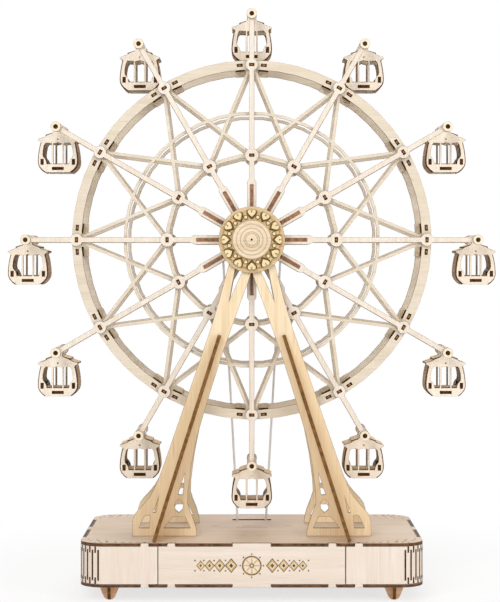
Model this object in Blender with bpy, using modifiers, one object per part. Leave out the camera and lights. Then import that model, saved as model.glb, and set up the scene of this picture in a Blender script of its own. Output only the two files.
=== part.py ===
"""Wooden ferris wheel puzzle: a hand cranked wheel of laser cut plywood on a low box.

Metres, +Z up, the wheel's axle along Y and its front towards -Y. The origin is on the ground under the
middle of the whole toy's box.
"""

import math

import bmesh
import bpy
from mathutils import Matrix, Vector

MM = 0.001

# Clearances and general stock
PLY = 2.0 * MM
GAP = 0.3 * MM
OVERRUN = 4.0 * MM
WELD = 0.001 * MM
STEP_IN = 0.05 * MM

# Base box
BASE_WIDTH = 188.8 * MM
BASE_DEPTH = 118.0 * MM
BASE_SETBACK = 4.5 * MM
BASE_CORNER = 14.0 * MM
BOARD = 1.5 * MM
PANEL_HEIGHT = 20.6 * MM
FOOT_HEIGHT = 8.0 * MM
FRONT_SEAM = 51.2 * MM
TAB_LONG = 21.0 * MM
TAB_SHORT = 4.2 * MM
TAB_SEAM_OFFSET = 7.3 * MM
END_TAB = 29.6 * MM
END_TAB_OFFSET = 20.6 * MM
KERF_PITCH = 3.5 * MM
KERF_WIDTH = 0.5 * MM
KERF_DEPTH = 0.8 * MM
KERF_COUNT = 6
CORNER_STEPS = 8

# Feet
FOOT_HALF_WIDTH = 5.6 * MM
FOOT_INSET_X = 16.1 * MM
FOOT_INSET_Y = 10.0 * MM
FOOT_SHARES = [(1.0, 1.0), (0.74, 0.62), (0.5, 0.25), (0.32, 0.0)]

# Wheel
PIVOT_RADIUS = 127.2 * MM
DECK_CLEARANCE = 13.4 * MM
RIM_CLEARANCE = 0.8 * MM
RIM_WIDTH = 5.3 * MM
RIM_STEPS = 60
LATTICE_FACE = 17.7 * MM
MIDDLE_RING_STEP = 27.15 * MM
INNER_RING_STEP = 23.8 * MM
MIDDLE_RING_WIDTH = 1.7 * MM
INNER_RING_WIDTH = 2.2 * MM
MIDDLE_RING_STEPS = 36
INNER_RING_STEPS = 24
STAR_WIDTH = 1.8 * MM
ARM_COUNT = 12
SPOKE_WIDTH = 3.4 * MM
SPOKE_ROOT_WIDTH = 5.2 * MM
HUB_DISC_RADIUS = 18.6 * MM
FIN_LENGTH = 12.4 * MM
FIN_THICKNESS = 1.8 * MM
NODE_HEAD_RADIUS = 3.6 * MM
PIVOT_HEAD_RADIUS = 2.9 * MM
BAR_WIDTH = 5.4 * MM
BAR_THICKNESS = 1.6 * MM
BAR_OFFSET = 6.8 * MM
TIE_WIDTH = 1.8 * MM
TIE_HEIGHT = 1.5 * MM

# Axle and hub
AXLE_RADIUS = 3.0 * MM
AXLE_STEPS = 16
SLEEVE_WALL = 1.7 * MM
BEARING_RADIUS = 18.6 * MM
BEARING_STEPS = 32
PETAL_RING_INNER = 10.6 * MM
PETAL_RING_OUTER = 17.6 * MM
PETAL_ROOT = 15.2 * MM
PETAL_HOLE_INSET = 1.6 * MM
PETAL_HOLE_OUTSET = 0.5 * MM
PETAL_STEPS = 3
CAP_RADIUS = 10.2 * MM
CAP_THICKNESS = 2.6 * MM
CAP_BOSS_RADIUS = 4.6 * MM
CAP_BOSS_HEIGHT = 0.8 * MM

# A-frames
LEG_CLEARANCE = 4.0 * MM
LEG_REACH = 66.8 * MM
LEG_TOP_RADIUS = 10.0 * MM
RIB_TOP_HEIGHT = 112.2 * MM
RIB_TOP_X = 17.9 * MM
RIB_FOOT_X = 53.6 * MM
RIB_TOP_DEPTH = 2.6 * MM
RIB_FOOT_DEPTH = 25.0 * MM
LEG_OUTER_SHARES = [
    (0.17, 0.95),
    (0.27, 0.8),
    (0.345, 0.7),
    (0.54, 0.47),
    (0.81, 0.158),
    (0.93, 0.087),
    (1.0, 0.03),
    (1.0, 0.0),
]
LEG_INNER_SHARES = [
    (0.46, 0.0),
    (0.462, 0.022),
    (0.539, 0.107),
    (0.504, 0.243),
    (0.46, 0.335),
    (0.355, 0.477),
    (0.235, 0.628),
    (0.138, 0.738),
    (0.057, 0.87),
]
LEG_FORK_SHARE = 0.925
LEG_SLIT_SHARES = [(0.1, 0.9), (0.142, 0.9), (0.187, 0.795)]
LEG_WINDOW_SHARES = [
    [(0.561, 0.21), (0.617, 0.14), (0.579, 0.14)],
    [(0.609, 0.125), (0.645, 0.11), (0.64, 0.09), (0.609, 0.08), (0.58, 0.092), (0.575, 0.11)],
    [(0.56, 0.066), (0.66, 0.066), (0.735, 0.028), (0.515, 0.028)],
    [(0.781, 0.129), (0.826, 0.08), (0.804, 0.08)],
    [(0.85, 0.07), (0.895, 0.07), (0.945, 0.028), (0.858, 0.028)],
]

# Gondolas, measured from the pivot
GONDOLA_HALF_WIDTH = 11.8 * MM
GONDOLA_DROP = 25.2 * MM
GONDOLA_INNER = 9.0 * MM
CROWN_HEIGHT = 2.8 * MM
PIVOT_PIN_RADIUS = 1.0 * MM
PIVOT_STEPS = 8
ROD_HEAD_THICKNESS = 1.3 * MM
GONDOLA_SHARES = [
    (0.17, 0.05),
    (0.23, -0.07),
    (0.55, -0.175),
    (1.0, -0.265),
    (1.0, -0.30),
    (0.83, -0.33),
    (0.92, -0.78),
    (0.75, -0.94),
    (0.53, -1.0),
]
GONDOLA_WINDOW_SHARES = [
    (0.33, -0.36),
    (0.60, -0.39),
    (0.69, -0.62),
    (0.57, -0.81),
    (0.33, -0.81),
]
WINDOW_BAR_SHARE = 0.23
WINDOW_TOP_SHARE = 0.36
WINDOW_FOOT_SHARE = 0.81
FLOOR_SHARE = 0.925
FLOOR_HALF_SHARE = 0.69
BENCH_SHARE = 0.775
BENCH_HALF_SHARE = 0.85
BENCH_DEPTH_SHARE = 0.62
SIDE_WALL_SHARES = [
    (0.80, -0.34),
    (0.89, -0.775),
    (0.725, -0.93),
    (0.53, -0.985),
]
ROOF_START_SHARES = (0.20, -0.15)
ROOF_END_SHARES = (0.92, -0.282)
GONDOLA_BOARD = 1.5 * MM
GONDOLA_WALL = 1.1 * MM

# Belt drive and crank
BELT_PLANE = 40.0 * MM
BELT_RADIUS = 0.75 * MM
HUB_PULLEY_PITCH = 17.6 * MM
DRIVE_PULLEY_PITCH = 7.8 * MM
FLANGE_HEIGHT = 1.2 * MM
GROOVE_DEPTH = 1.8 * MM
PULLEY_HALF_WIDTH = 2.3 * MM
PULLEY_STEPS = 24
BELT_SLOT_LENGTH = 23.0 * MM
BELT_SLOT_WIDTH = 5.0 * MM
CRANK_HEIGHT = 21.0 * MM
CRANK_SHAFT_RADIUS = 2.0 * MM
CRANK_STEPS = 16
CRANK_ARM_LENGTH = 13.0 * MM
CRANK_ARM_HALF_WIDTH = 3.4 * MM
CRANK_ARM_STANDOFF = 1.0 * MM
KNOB_RADIUS = 3.0 * MM
KNOB_WAIST_RADIUS = 2.1 * MM
KNOB_LENGTH = 14.7 * MM
POST_HALF_WIDTH = 6.0 * MM
POST_SETBACK = 3.4 * MM
BELT_STEPS = 18

# Places worked out from the sizes
PANEL_FOOT = FOOT_HEIGHT + BOARD + GAP
PANEL_TOP = PANEL_FOOT + PANEL_HEIGHT
DECK_UNDER = PANEL_TOP + GAP
DECK_TOP = DECK_UNDER + BOARD
HUB_HEIGHT = DECK_TOP + DECK_CLEARANCE + GONDOLA_DROP + PIVOT_RADIUS
WHEEL_RADIUS = PIVOT_RADIUS - GONDOLA_DROP - RIM_CLEARANCE
SPOKE_FACE = LATTICE_FACE + PLY + GAP
SPOKE_FRONT = SPOKE_FACE + PLY
ROD_HEAD_FACE = SPOKE_FRONT + GAP
LEG_FACE = SPOKE_FRONT + LEG_CLEARANCE
BEARING_FACE = LEG_FACE + PLY + GAP
PETAL_FACE = BEARING_FACE + PLY + GAP
LEG_FOOT = DECK_TOP + GAP
LEG_HEIGHT = HUB_HEIGHT - LEG_FOOT
REAR_FACE = BASE_SETBACK + BASE_DEPTH / 2
CRANK_ARM_FACE = REAR_FACE + CRANK_ARM_STANDOFF
KNOB_FACE = CRANK_ARM_FACE + PLY + GAP
REACH_BACK = KNOB_FACE + KNOB_LENGTH
REACH_FRONT = BASE_DEPTH / 2 - BASE_SETBACK
SHIFT_Y = (REACH_FRONT - REACH_BACK) / 2
HOLE_RADIUS = AXLE_RADIUS + GAP
HUB_SLEEVE_RADIUS = HOLE_RADIUS + SLEEVE_WALL
NODE_RADIUS = WHEEL_RADIUS - RIM_WIDTH / 2
MIDDLE_RING_RADIUS = NODE_RADIUS - MIDDLE_RING_STEP
INNER_RING_RADIUS = MIDDLE_RING_RADIUS - INNER_RING_STEP
FIN_RADIUS = HUB_DISC_RADIUS + FIN_LENGTH

ARM_ANGLE = 2 * math.pi / ARM_COUNT

COLOURS = {
    "ply_face": (0.86, 0.74, 0.58),
    "ply_pale": (0.91, 0.83, 0.71),
    "ply_warm": (0.80, 0.63, 0.42),
    "ply_edge": (0.38, 0.23, 0.12),
    "stick": (0.84, 0.70, 0.50),
    "cord": (0.80, 0.79, 0.77),
}
ROUGHNESS = 0.7


def reset_scene():
    for obj in list(bpy.data.objects):
        bpy.data.objects.remove(obj)


def make_collection(name):
    collection = bpy.data.collections.new(name)
    bpy.context.scene.collection.children.link(collection)
    return collection


def make_materials():
    made = {}
    for name, colour in COLOURS.items():
        material = bpy.data.materials.new(name)
        material.use_nodes = True
        shader = material.node_tree.nodes["Principled BSDF"]
        shader.inputs["Base Color"].default_value = (*colour, 1.0)
        shader.inputs["Roughness"].default_value = ROUGHNESS
        shader.inputs["Metallic"].default_value = 0.0
        made[name] = material
    return made


reset_scene()
PARTS = make_collection("ferris_wheel_puzzle")
CUTTERS = make_collection("cutters")
MATERIALS = make_materials()

# Outlines, as lists of points in a plane


def polar(radius, angle):
    return (radius * math.cos(angle), radius * math.sin(angle))


def circle(radius, steps, centre=(0.0, 0.0), turn=0.0):
    points = []
    for step in range(steps):
        x, y = polar(radius, turn + 2 * math.pi * step / steps)
        points.append((centre[0] + x, centre[1] + y))
    return points


def arc(radius, start, end, steps, centre=(0.0, 0.0)):
    points = []
    for step in range(steps + 1):
        x, y = polar(radius, start + (end - start) * step / steps)
        points.append((centre[0] + x, centre[1] + y))
    return points


def rectangle(half_x, half_y, centre=(0.0, 0.0)):
    x, y = centre
    return [
        (x - half_x, y - half_y),
        (x + half_x, y - half_y),
        (x + half_x, y + half_y),
        (x - half_x, y + half_y),
    ]


def turned_points(points, angle):
    cosine = math.cos(angle)
    sine = math.sin(angle)
    return [(x * cosine - y * sine, x * sine + y * cosine) for x, y in points]


def mirrored(points):
    return [(-x, y) for x, y in reversed(points)]


def shared(shares, size_x, size_y):
    return [(x * size_x, y * size_y) for x, y in shares]


# Meshes


def take_mesh(obj, name):
    """The evaluated mesh of a helper object, which is then removed."""
    bpy.context.view_layer.update()
    graph = bpy.context.evaluated_depsgraph_get()
    mesh = bpy.data.meshes.new_from_object(obj.evaluated_get(graph))
    mesh.name = name
    mesh.transform(obj.matrix_world)
    bpy.data.objects.remove(obj)
    weld = bmesh.new()
    weld.from_mesh(mesh)
    bmesh.ops.remove_doubles(weld, verts=weld.verts, dist=WELD)
    bmesh.ops.recalc_face_normals(weld, faces=weld.faces)
    weld.to_mesh(mesh)
    weld.free()
    return mesh


def board_mesh(name, loops, thickness):
    """A flat board in the XY plane, cut to the first loop with the other loops as holes."""
    curve = bpy.data.curves.new(name, "CURVE")
    curve.dimensions = "2D"
    curve.fill_mode = "BOTH"
    curve.extrude = thickness / 2
    for loop in loops:
        spline = curve.splines.new("POLY")
        spline.points.add(len(loop) - 1)
        for point, (x, y) in zip(spline.points, loop):
            point.co = (x, y, 0.0, 1.0)
        spline.use_cyclic_u = True
    guide = bpy.data.objects.new(name, curve)
    bpy.context.scene.collection.objects.link(guide)
    return take_mesh(guide, name)


def upright_mesh(name, loops, thickness, middle_y=0.0):
    """A board standing in the XZ plane, its middle at middle_y."""
    mesh = board_mesh(name, loops, thickness)
    mesh.transform(Matrix.Translation((0.0, middle_y, 0.0)) @ Matrix.Rotation(math.radians(90), 4, "X"))
    return mesh


def turned_mesh(name, profile, steps):
    """A solid turned about Y. The profile holds (radius, y) points from its rear end to its front end."""
    guide_mesh = bpy.data.meshes.new(name)
    edges = [(index, index + 1) for index in range(len(profile) - 1)]
    guide_mesh.from_pydata([(radius, 0.0, along) for radius, along in profile], edges, [])
    guide = bpy.data.objects.new(name, guide_mesh)
    bpy.context.scene.collection.objects.link(guide)
    screw = guide.modifiers.new("turn", "SCREW")
    screw.axis = "Z"
    screw.steps = steps
    screw.render_steps = steps
    screw.use_merge_vertices = True
    screw.merge_threshold = WELD
    guide.rotation_euler = (math.radians(-90), 0.0, 0.0)
    return take_mesh(guide, name)


def box_mesh(name, size, centre, turn=None):
    """A box of the given size about its centre, with turn as a matrix about the origin."""
    made = bmesh.new()
    bmesh.ops.create_cube(made, size=1.0)
    bmesh.ops.scale(made, vec=Vector(size), verts=made.verts)
    bmesh.ops.translate(made, vec=Vector(centre), verts=made.verts)
    if turn is not None:
        bmesh.ops.transform(made, matrix=turn, verts=made.verts)
    mesh = bpy.data.meshes.new(name)
    made.to_mesh(mesh)
    made.free()
    return mesh


def group_mesh(name, meshes):
    """One mesh holding several separate solids."""
    made = bmesh.new()
    for mesh in meshes:
        made.from_mesh(mesh)
    joined = bpy.data.meshes.new(name)
    made.to_mesh(joined)
    made.free()
    for mesh in meshes:
        bpy.data.meshes.remove(mesh)
    return joined


def moved(mesh, matrix):
    mesh.transform(matrix)
    return mesh


def about_y(angle):
    """A turn that carries +X towards +Z, as angles are counted on the wheel's face."""
    return Matrix.Rotation(-angle, 4, "Y")


def mirror_front(mesh):
    """The same board on the other side of the wheel's middle plane."""
    mesh.transform(Matrix.Scale(-1.0, 4, (0.0, 1.0, 0.0)))
    mesh.flip_normals()
    return mesh


# Objects


def place(name, mesh, material, parent, round_piece=False):
    obj = bpy.data.objects.new(name, mesh)
    mesh.name = name
    mesh.materials.clear()
    mesh.materials.append(MATERIALS[material])
    if round_piece:
        mesh.shade_smooth()
        mesh.set_sharp_from_angle(angle=math.radians(35))
    PARTS.objects.link(obj)
    obj.parent = parent
    return obj


def joint_empty(name, location, parent):
    empty = bpy.data.objects.new(name, None)
    empty.location = location
    empty.parent = parent
    PARTS.objects.link(empty)
    return empty


def helper(name, mesh):
    """A solid that is only joined to, or cut from, another object."""
    obj = bpy.data.objects.new(name, mesh)
    obj.hide_render = True
    obj.display_type = "WIRE"
    CUTTERS.objects.link(obj)
    return obj


def combine(obj, other, operation):
    modifier = obj.modifiers.new(other.name, "BOOLEAN")
    modifier.operation = operation
    modifier.solver = "EXACT"
    modifier.object = other
    other.parent = obj.parent


# Base


def rounded_half(half_x, half_y, corner, steps):
    """The right half of a rounded rectangle, from its lower middle to its upper middle."""
    centre_x = half_x - corner
    centre_y = half_y - corner
    lower = arc(corner, -math.pi / 2, 0.0, steps, (centre_x, -centre_y))
    upper = arc(corner, 0.0, math.pi / 2, steps, (centre_x, centre_y))
    return lower + upper


def notch(points_x, y, inward, depth):
    """Points of a notch cut into a straight edge, from its first corner to its last."""
    first, last = points_x
    return [(first, y), (first, y + inward * depth), (last, y + inward * depth), (last, y)]


def tab_places():
    """Middles and half lengths of the tabs on the front and rear panels, from left to right."""
    outer = FRONT_SEAM + TAB_SEAM_OFFSET
    inner = FRONT_SEAM - TAB_SEAM_OFFSET
    return [
        (-outer, TAB_SHORT / 2),
        (-inner, TAB_SHORT / 2),
        (0.0, TAB_LONG / 2),
        (inner, TAB_SHORT / 2),
        (outer, TAB_SHORT / 2),
    ]


def end_notches():
    """Points of the two notches in the right end, from front to rear."""
    half = END_TAB / 2 + GAP
    depth = PLY + GAP
    points = []
    for middle in (-END_TAB_OFFSET, END_TAB_OFFSET):
        points += notch((middle - half, middle + half), BASE_WIDTH / 2, -1, depth)
    return [(x, y) for y, x in points]


def board_outline():
    """The deck's and the bottom board's outline, with a notch for every tab."""
    half_x = BASE_WIDTH / 2
    half_y = BASE_DEPTH / 2
    depth = PLY + GAP
    points = []
    for middle, half in tab_places():
        points += notch((middle - half - GAP, middle + half + GAP), -half_y, 1, depth)
    right = rounded_half(half_x, half_y, BASE_CORNER, CORNER_STEPS)
    split = len(right) // 2
    side_notches = end_notches()
    points += right[:split] + side_notches + right[split:]
    for middle, half in reversed(tab_places()):
        points += notch((middle + half + GAP, middle - half - GAP), half_y, -1, depth)
    left = [(-x, -y) for x, y in right]
    left_notches = [(-x, -y) for x, y in side_notches]
    points += left[:split] + left_notches + left[split:]
    return points


def tabbed_panel(name, left, right, hole=None):
    """A straight panel between two seams, its tabs reaching through the deck and the bottom board."""
    foot = FOOT_HEIGHT
    points = []
    for middle, half in tab_places():
        if left < middle < right:
            points += notch((middle - half, middle + half), PANEL_FOOT, -1, PANEL_FOOT - foot)
    lower = [(left, PANEL_FOOT)] + points + [(right, PANEL_FOOT)]
    middle_z = PANEL_FOOT + PANEL_HEIGHT / 2
    upper = [(x, 2 * middle_z - z) for x, z in reversed(lower)]
    loops = [lower + upper]
    if hole is not None:
        loops.append(hole)
    return upright_mesh(name, loops, PLY)


def end_panel_outline():
    """Plan of the right end panel: a U from the front seam to the rear seam, kerfed at its corners."""
    half_x = BASE_WIDTH / 2
    half_y = BASE_DEPTH / 2
    start = FRONT_SEAM + GAP / 2
    outer = [(start, -half_y)]
    centre_x = half_x - BASE_CORNER
    centre_y = half_y - BASE_CORNER
    corner_start = -math.pi / 2
    pitch = KERF_PITCH / BASE_CORNER
    half_kerf = KERF_WIDTH / 2 / BASE_CORNER
    first = math.pi / 4 - pitch * (KERF_COUNT - 1) / 2
    for centre_sign, base_angle in ((-1, corner_start), (1, 0.0)):
        centre = (centre_x, centre_sign * centre_y)
        for kerf in range(KERF_COUNT):
            angle = base_angle + first + kerf * pitch
            for offset, depth in ((-1, 0.0), (-1, KERF_DEPTH), (1, KERF_DEPTH), (1, 0.0)):
                x, y = polar(BASE_CORNER - depth, angle + offset * half_kerf)
                outer.append((centre[0] + x, centre[1] + y))
    outer.append((start, half_y))
    inner_half = rounded_half(half_x - PLY, half_y - PLY, BASE_CORNER - PLY, CORNER_STEPS)
    inner = [(start, half_y - PLY)] + list(reversed(inner_half)) + [(start, -half_y + PLY)]
    return outer + inner


def end_panel(name, side, parent):
    wall = board_mesh(name, [end_panel_outline()], PANEL_HEIGHT)
    middle_z = PANEL_FOOT + PANEL_HEIGHT / 2
    wall.transform(Matrix.Translation((0.0, 0.0, middle_z)))
    if side < 0:
        wall.transform(Matrix.Scale(-1.0, 4, (1.0, 0.0, 0.0)))
        wall.flip_normals()
    panel = place(name, wall, "ply_face", parent)
    full = DECK_TOP - FOOT_HEIGHT
    tabs = []
    for middle, half in tab_places():
        if side * middle > FRONT_SEAM:
            for end in (-1, 1):
                centre = (middle, end * (BASE_DEPTH / 2 - PLY / 2), middle_z)
                tabs.append(box_mesh("tab", (2 * half, PLY - 2 * STEP_IN, full), centre))
    for middle in (-END_TAB_OFFSET, END_TAB_OFFSET):
        centre = (side * (BASE_WIDTH / 2 - PLY / 2), middle, middle_z)
        tabs.append(box_mesh("tab", (PLY - 2 * STEP_IN, END_TAB, full), centre))
    combine(panel, helper(name + "_tabs", group_mesh("tabs", tabs)), "UNION")


def foot(name, x, y, parent):
    """Two crossed boards, joined where they lap."""
    half = [(a * FOOT_HALF_WIDTH, b * (FOOT_HEIGHT - GAP)) for a, b in FOOT_SHARES]
    outline = half + mirrored(half)
    wide = place(name, upright_mesh(name, [outline], PLY), "ply_warm", parent)
    inset = [(a, min(max(b, STEP_IN), FOOT_HEIGHT - GAP - STEP_IN)) for a, b in outline]
    cross = upright_mesh(name, [inset], PLY)
    cross.transform(Matrix.Rotation(math.radians(90), 4, "Z"))
    other = helper(name + "_cross", cross)
    combine(wide, other, "UNION")
    wide.location = (x, y, 0.0)
    other.location = (x, y, 0.0)


def build_base(base):
    outline = board_outline()
    bottom = board_mesh("base_board", [outline], BOARD)
    bottom.transform(Matrix.Translation((0.0, 0.0, FOOT_HEIGHT + BOARD / 2)))
    place("base_board", bottom, "ply_face", base)
    belt_slot = rectangle(BELT_SLOT_LENGTH / 2, BELT_SLOT_WIDTH / 2, (0.0, BELT_PLANE - BASE_SETBACK))
    deck = board_mesh("top_deck", [outline, belt_slot], BOARD)
    deck.transform(Matrix.Translation((0.0, 0.0, DECK_UNDER + BOARD / 2)))
    place("top_deck", deck, "ply_face", base)
    seam = FRONT_SEAM - GAP / 2
    front = tabbed_panel("front_panel", -seam, seam)
    front.transform(Matrix.Translation((0.0, -BASE_DEPTH / 2 + PLY / 2, 0.0)))
    place("front_panel", front, "ply_pale", base)
    shaft_hole = circle(CRANK_SHAFT_RADIUS + GAP, CRANK_STEPS, (0.0, CRANK_HEIGHT))
    rear = tabbed_panel("rear_panel", -seam, seam, shaft_hole)
    rear.transform(Matrix.Translation((0.0, BASE_DEPTH / 2 - PLY / 2, 0.0)))
    place("rear_panel", rear, "ply_face", base)
    end_panel("left_end_panel", -1, base)
    end_panel("right_end_panel", 1, base)
    foot_x = BASE_WIDTH / 2 - FOOT_INSET_X
    foot_y = BASE_DEPTH / 2 - FOOT_INSET_Y
    for name, x, y in (
        ("foot_front_left", -foot_x, -foot_y),
        ("foot_front_right", foot_x, -foot_y),
        ("foot_rear_left", -foot_x, foot_y),
        ("foot_rear_right", foot_x, foot_y),
    ):
        foot(name, x, y, base)


# A-frames


def leg_outline():
    """The right leg board, with half of the axle's hole at its top."""
    seam = GAP / 2
    half_angle = math.asin(seam / HOLE_RADIUS)
    bore = arc(HOLE_RADIUS, -math.pi / 2 + half_angle, math.pi / 2 - half_angle, 8, (0.0, HUB_HEIGHT))
    top_angle = math.asin(seam / LEG_TOP_RADIUS)
    top = arc(LEG_TOP_RADIUS, math.pi / 2 - top_angle, 0.0, 6, (0.0, HUB_HEIGHT))
    outer = [(x, z + LEG_FOOT) for x, z in shared(LEG_OUTER_SHARES, LEG_REACH, LEG_HEIGHT)]
    inner = [(x, z + LEG_FOOT) for x, z in shared(LEG_INNER_SHARES, LEG_REACH, LEG_HEIGHT)]
    fork = [(seam, LEG_FOOT + LEG_FORK_SHARE * LEG_HEIGHT)]
    return bore + top + outer + inner + fork


def leg_board(name, side, face, parent):
    loops = [leg_outline()]
    for window in [LEG_SLIT_SHARES] + LEG_WINDOW_SHARES:
        loops.append([(x, z + LEG_FOOT) for x, z in shared(window, LEG_REACH, LEG_HEIGHT)])
    if side < 0:
        loops = [mirrored(loop) for loop in loops]
    mesh = upright_mesh(name, loops, PLY, -LEG_FACE - PLY / 2)
    if face > 0:
        mesh = mirror_front(mesh)
    place(name, mesh, "ply_face", parent)


def leg_rib(name, side, face, parent):
    """A wedge that stands on the leg board along its middle line."""
    top = Vector((side * RIB_TOP_X, 0.0, LEG_FOOT + RIB_TOP_HEIGHT))
    toe = Vector((side * RIB_FOOT_X, 0.0, LEG_FOOT))
    run = top - toe
    length = run.length
    lean = math.atan2(side * (RIB_FOOT_X - RIB_TOP_X), RIB_TOP_HEIGHT)
    back = BEARING_FACE
    foot_cut = math.tan(lean) * side * PLY / 2
    outline = [
        (back, foot_cut),
        (back + RIB_FOOT_DEPTH, foot_cut),
        (back + RIB_FOOT_DEPTH, foot_cut + PLY),
        (back + RIB_TOP_DEPTH, length),
        (back, length),
    ]
    mesh = board_mesh(name, [outline], PLY)
    stand_up = Matrix.Rotation(math.radians(90), 4, "X")
    face_front = Matrix.Rotation(math.radians(-90), 4, "Z")
    tilt = Matrix.Rotation(-lean, 4, "Y")
    mesh.transform(Matrix.Translation(toe) @ tilt @ face_front @ stand_up)
    if face > 0:
        mesh = mirror_front(mesh)
    place(name, mesh, "ply_warm", parent)


def petal_ring_outline():
    """The ornament round the cap: a scalloped edge with one petal for each arm."""
    points = []
    for petal in range(ARM_COUNT):
        start = (petal - 0.5) * ARM_ANGLE
        points.append(polar(PETAL_ROOT, start))
        for step in range(1, PETAL_STEPS + 1):
            share = step / (PETAL_STEPS + 1)
            radius = PETAL_ROOT + (PETAL_RING_OUTER - PETAL_ROOT) * math.sin(math.pi * share)
            points.append(polar(radius, start + ARM_ANGLE * share))
    return points


def petal_holes():
    """A pointed opening in each petal, its tip towards the cap."""
    inner = PETAL_RING_INNER + PETAL_HOLE_INSET
    outer = PETAL_ROOT + PETAL_HOLE_OUTSET
    spread = ARM_ANGLE / 4
    holes = []
    for petal in range(ARM_COUNT):
        angle = petal * ARM_ANGLE
        holes.append([polar(inner, angle), polar(outer, angle + spread), polar(outer, angle - spread)])
    return holes


def build_frames(stand):
    for end, face in (("front", -1), ("rear", 1)):
        for hand, side in (("left", -1), ("right", 1)):
            leg_board(end + "_" + hand + "_leg", side, face, stand)
            leg_rib(end + "_" + hand + "_leg_rib", side, face, stand)
        loops = [
            circle(BEARING_RADIUS, BEARING_STEPS, (0.0, HUB_HEIGHT)),
            circle(HOLE_RADIUS, AXLE_STEPS, (0.0, HUB_HEIGHT)),
        ]
        plate = upright_mesh("bearing", loops, PLY, -BEARING_FACE - PLY / 2)
        if face > 0:
            plate = mirror_front(plate)
        place(end + "_bearing_plate", plate, "ply_face", stand)
    ring_loops = [petal_ring_outline(), circle(PETAL_RING_INNER, BEARING_STEPS)] + petal_holes()
    lift = Matrix.Translation((0.0, 0.0, HUB_HEIGHT))
    ring = upright_mesh("petal_ring", ring_loops, PLY, -PETAL_FACE - PLY / 2)
    place("petal_ring", moved(ring, lift), "ply_warm", stand)
    face_y = -PETAL_FACE
    profile = [
        (0.0, face_y),
        (CAP_RADIUS, face_y),
        (CAP_RADIUS, face_y - CAP_THICKNESS),
        (CAP_BOSS_RADIUS, face_y - CAP_THICKNESS),
        (CAP_BOSS_RADIUS, face_y - CAP_THICKNESS - CAP_BOSS_HEIGHT),
        (0.0, face_y - CAP_THICKNESS - CAP_BOSS_HEIGHT),
    ]
    cap = turned_mesh("hub_cap", profile, BEARING_STEPS)
    place("hub_cap", moved(cap, lift), "ply_pale", stand, True)


# Wheel


def head_stations(radius, size, neck):
    """Stations along an arm where it swells into a round head."""
    return [
        (radius - size, neck),
        (radius - size / 2, size * math.sin(math.pi / 3)),
        (radius + size / 2, size * math.sin(math.pi / 3)),
        (radius + size, neck),
    ]


def arm_side():
    """(radius, half width) along one side of an arm, from the hub disc to the tip."""
    neck = SPOKE_WIDTH / 2
    root = SPOKE_ROOT_WIDTH / 2
    stations = [(HUB_DISC_RADIUS, root), (FIN_RADIUS + OVERRUN / 2, root), (FIN_RADIUS + OVERRUN, neck)]
    stations += head_stations(INNER_RING_RADIUS, NODE_HEAD_RADIUS, neck)
    stations += head_stations(PIVOT_RADIUS, PIVOT_HEAD_RADIUS, neck)[:3]
    return stations


def spoke_outline():
    tip = (PIVOT_RADIUS + PIVOT_HEAD_RADIUS, 0.0)
    stations = arm_side()
    right = [(radius, -half) for radius, half in stations]
    left = [(radius, half) for radius, half in reversed(stations)]
    points = []
    for arm in range(ARM_COUNT):
        points += turned_points(right + [tip] + left, arm * ARM_ANGLE)
    return points


def spoke_plate(name, face, parent):
    """Hub disc and twelve arms, with a slot for each fin and a hole for each pivot."""
    loops = [spoke_outline(), circle(HUB_SLEEVE_RADIUS + GAP, AXLE_STEPS)]
    slot_start = HUB_DISC_RADIUS
    slot_end = FIN_RADIUS + GAP
    slot_middle = (slot_end + slot_start) / 2
    slot = rectangle((slot_end - slot_start) / 2, FIN_THICKNESS / 2 + GAP, (slot_middle, 0.0))
    hole = circle(PIVOT_PIN_RADIUS + GAP, PIVOT_STEPS, (PIVOT_RADIUS, 0.0), math.pi / PIVOT_STEPS)
    for arm in range(ARM_COUNT):
        loops.append(turned_points(slot, arm * ARM_ANGLE))
        loops.append(turned_points(hole, arm * ARM_ANGLE))
    mesh = upright_mesh(name, loops, PLY, -SPOKE_FACE - PLY / 2)
    if face > 0:
        mesh = mirror_front(mesh)
    place(name, mesh, "ply_pale", parent)


def star_loops(outer_radius, inner_radius, first):
    """A band that runs between outer nodes and inner nodes in turn, round six outer points."""
    corners = []
    for node in range(ARM_COUNT):
        radius = inner_radius if (node + first) % 2 else outer_radius
        corners.append(Vector(polar(radius, node * ARM_ANGLE)))
    loops = []
    for side in (-1, 1):
        loop = []
        for index, corner in enumerate(corners):
            before = (corner - corners[index - 1]).normalized()
            after = (corners[(index + 1) % ARM_COUNT] - corner).normalized()
            normal = Vector((before.y + after.y, -before.x - after.x)).normalized()
            reach = STAR_WIDTH / 2 / abs(normal.dot(Vector((before.y, -before.x))))
            shifted = corner + side * reach * normal
            loop.append((shifted.x, shifted.y))
        loops.append(loop)
    loops.sort(key=lambda points: -max(Vector(point).length for point in points))
    return loops


def ring_loops(radius, width, steps):
    """A ring whose corners lie between the nodes."""
    turn = math.pi / steps
    return [circle(radius + side * width / 2, steps, turn=turn) for side in (1, -1)]


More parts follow.
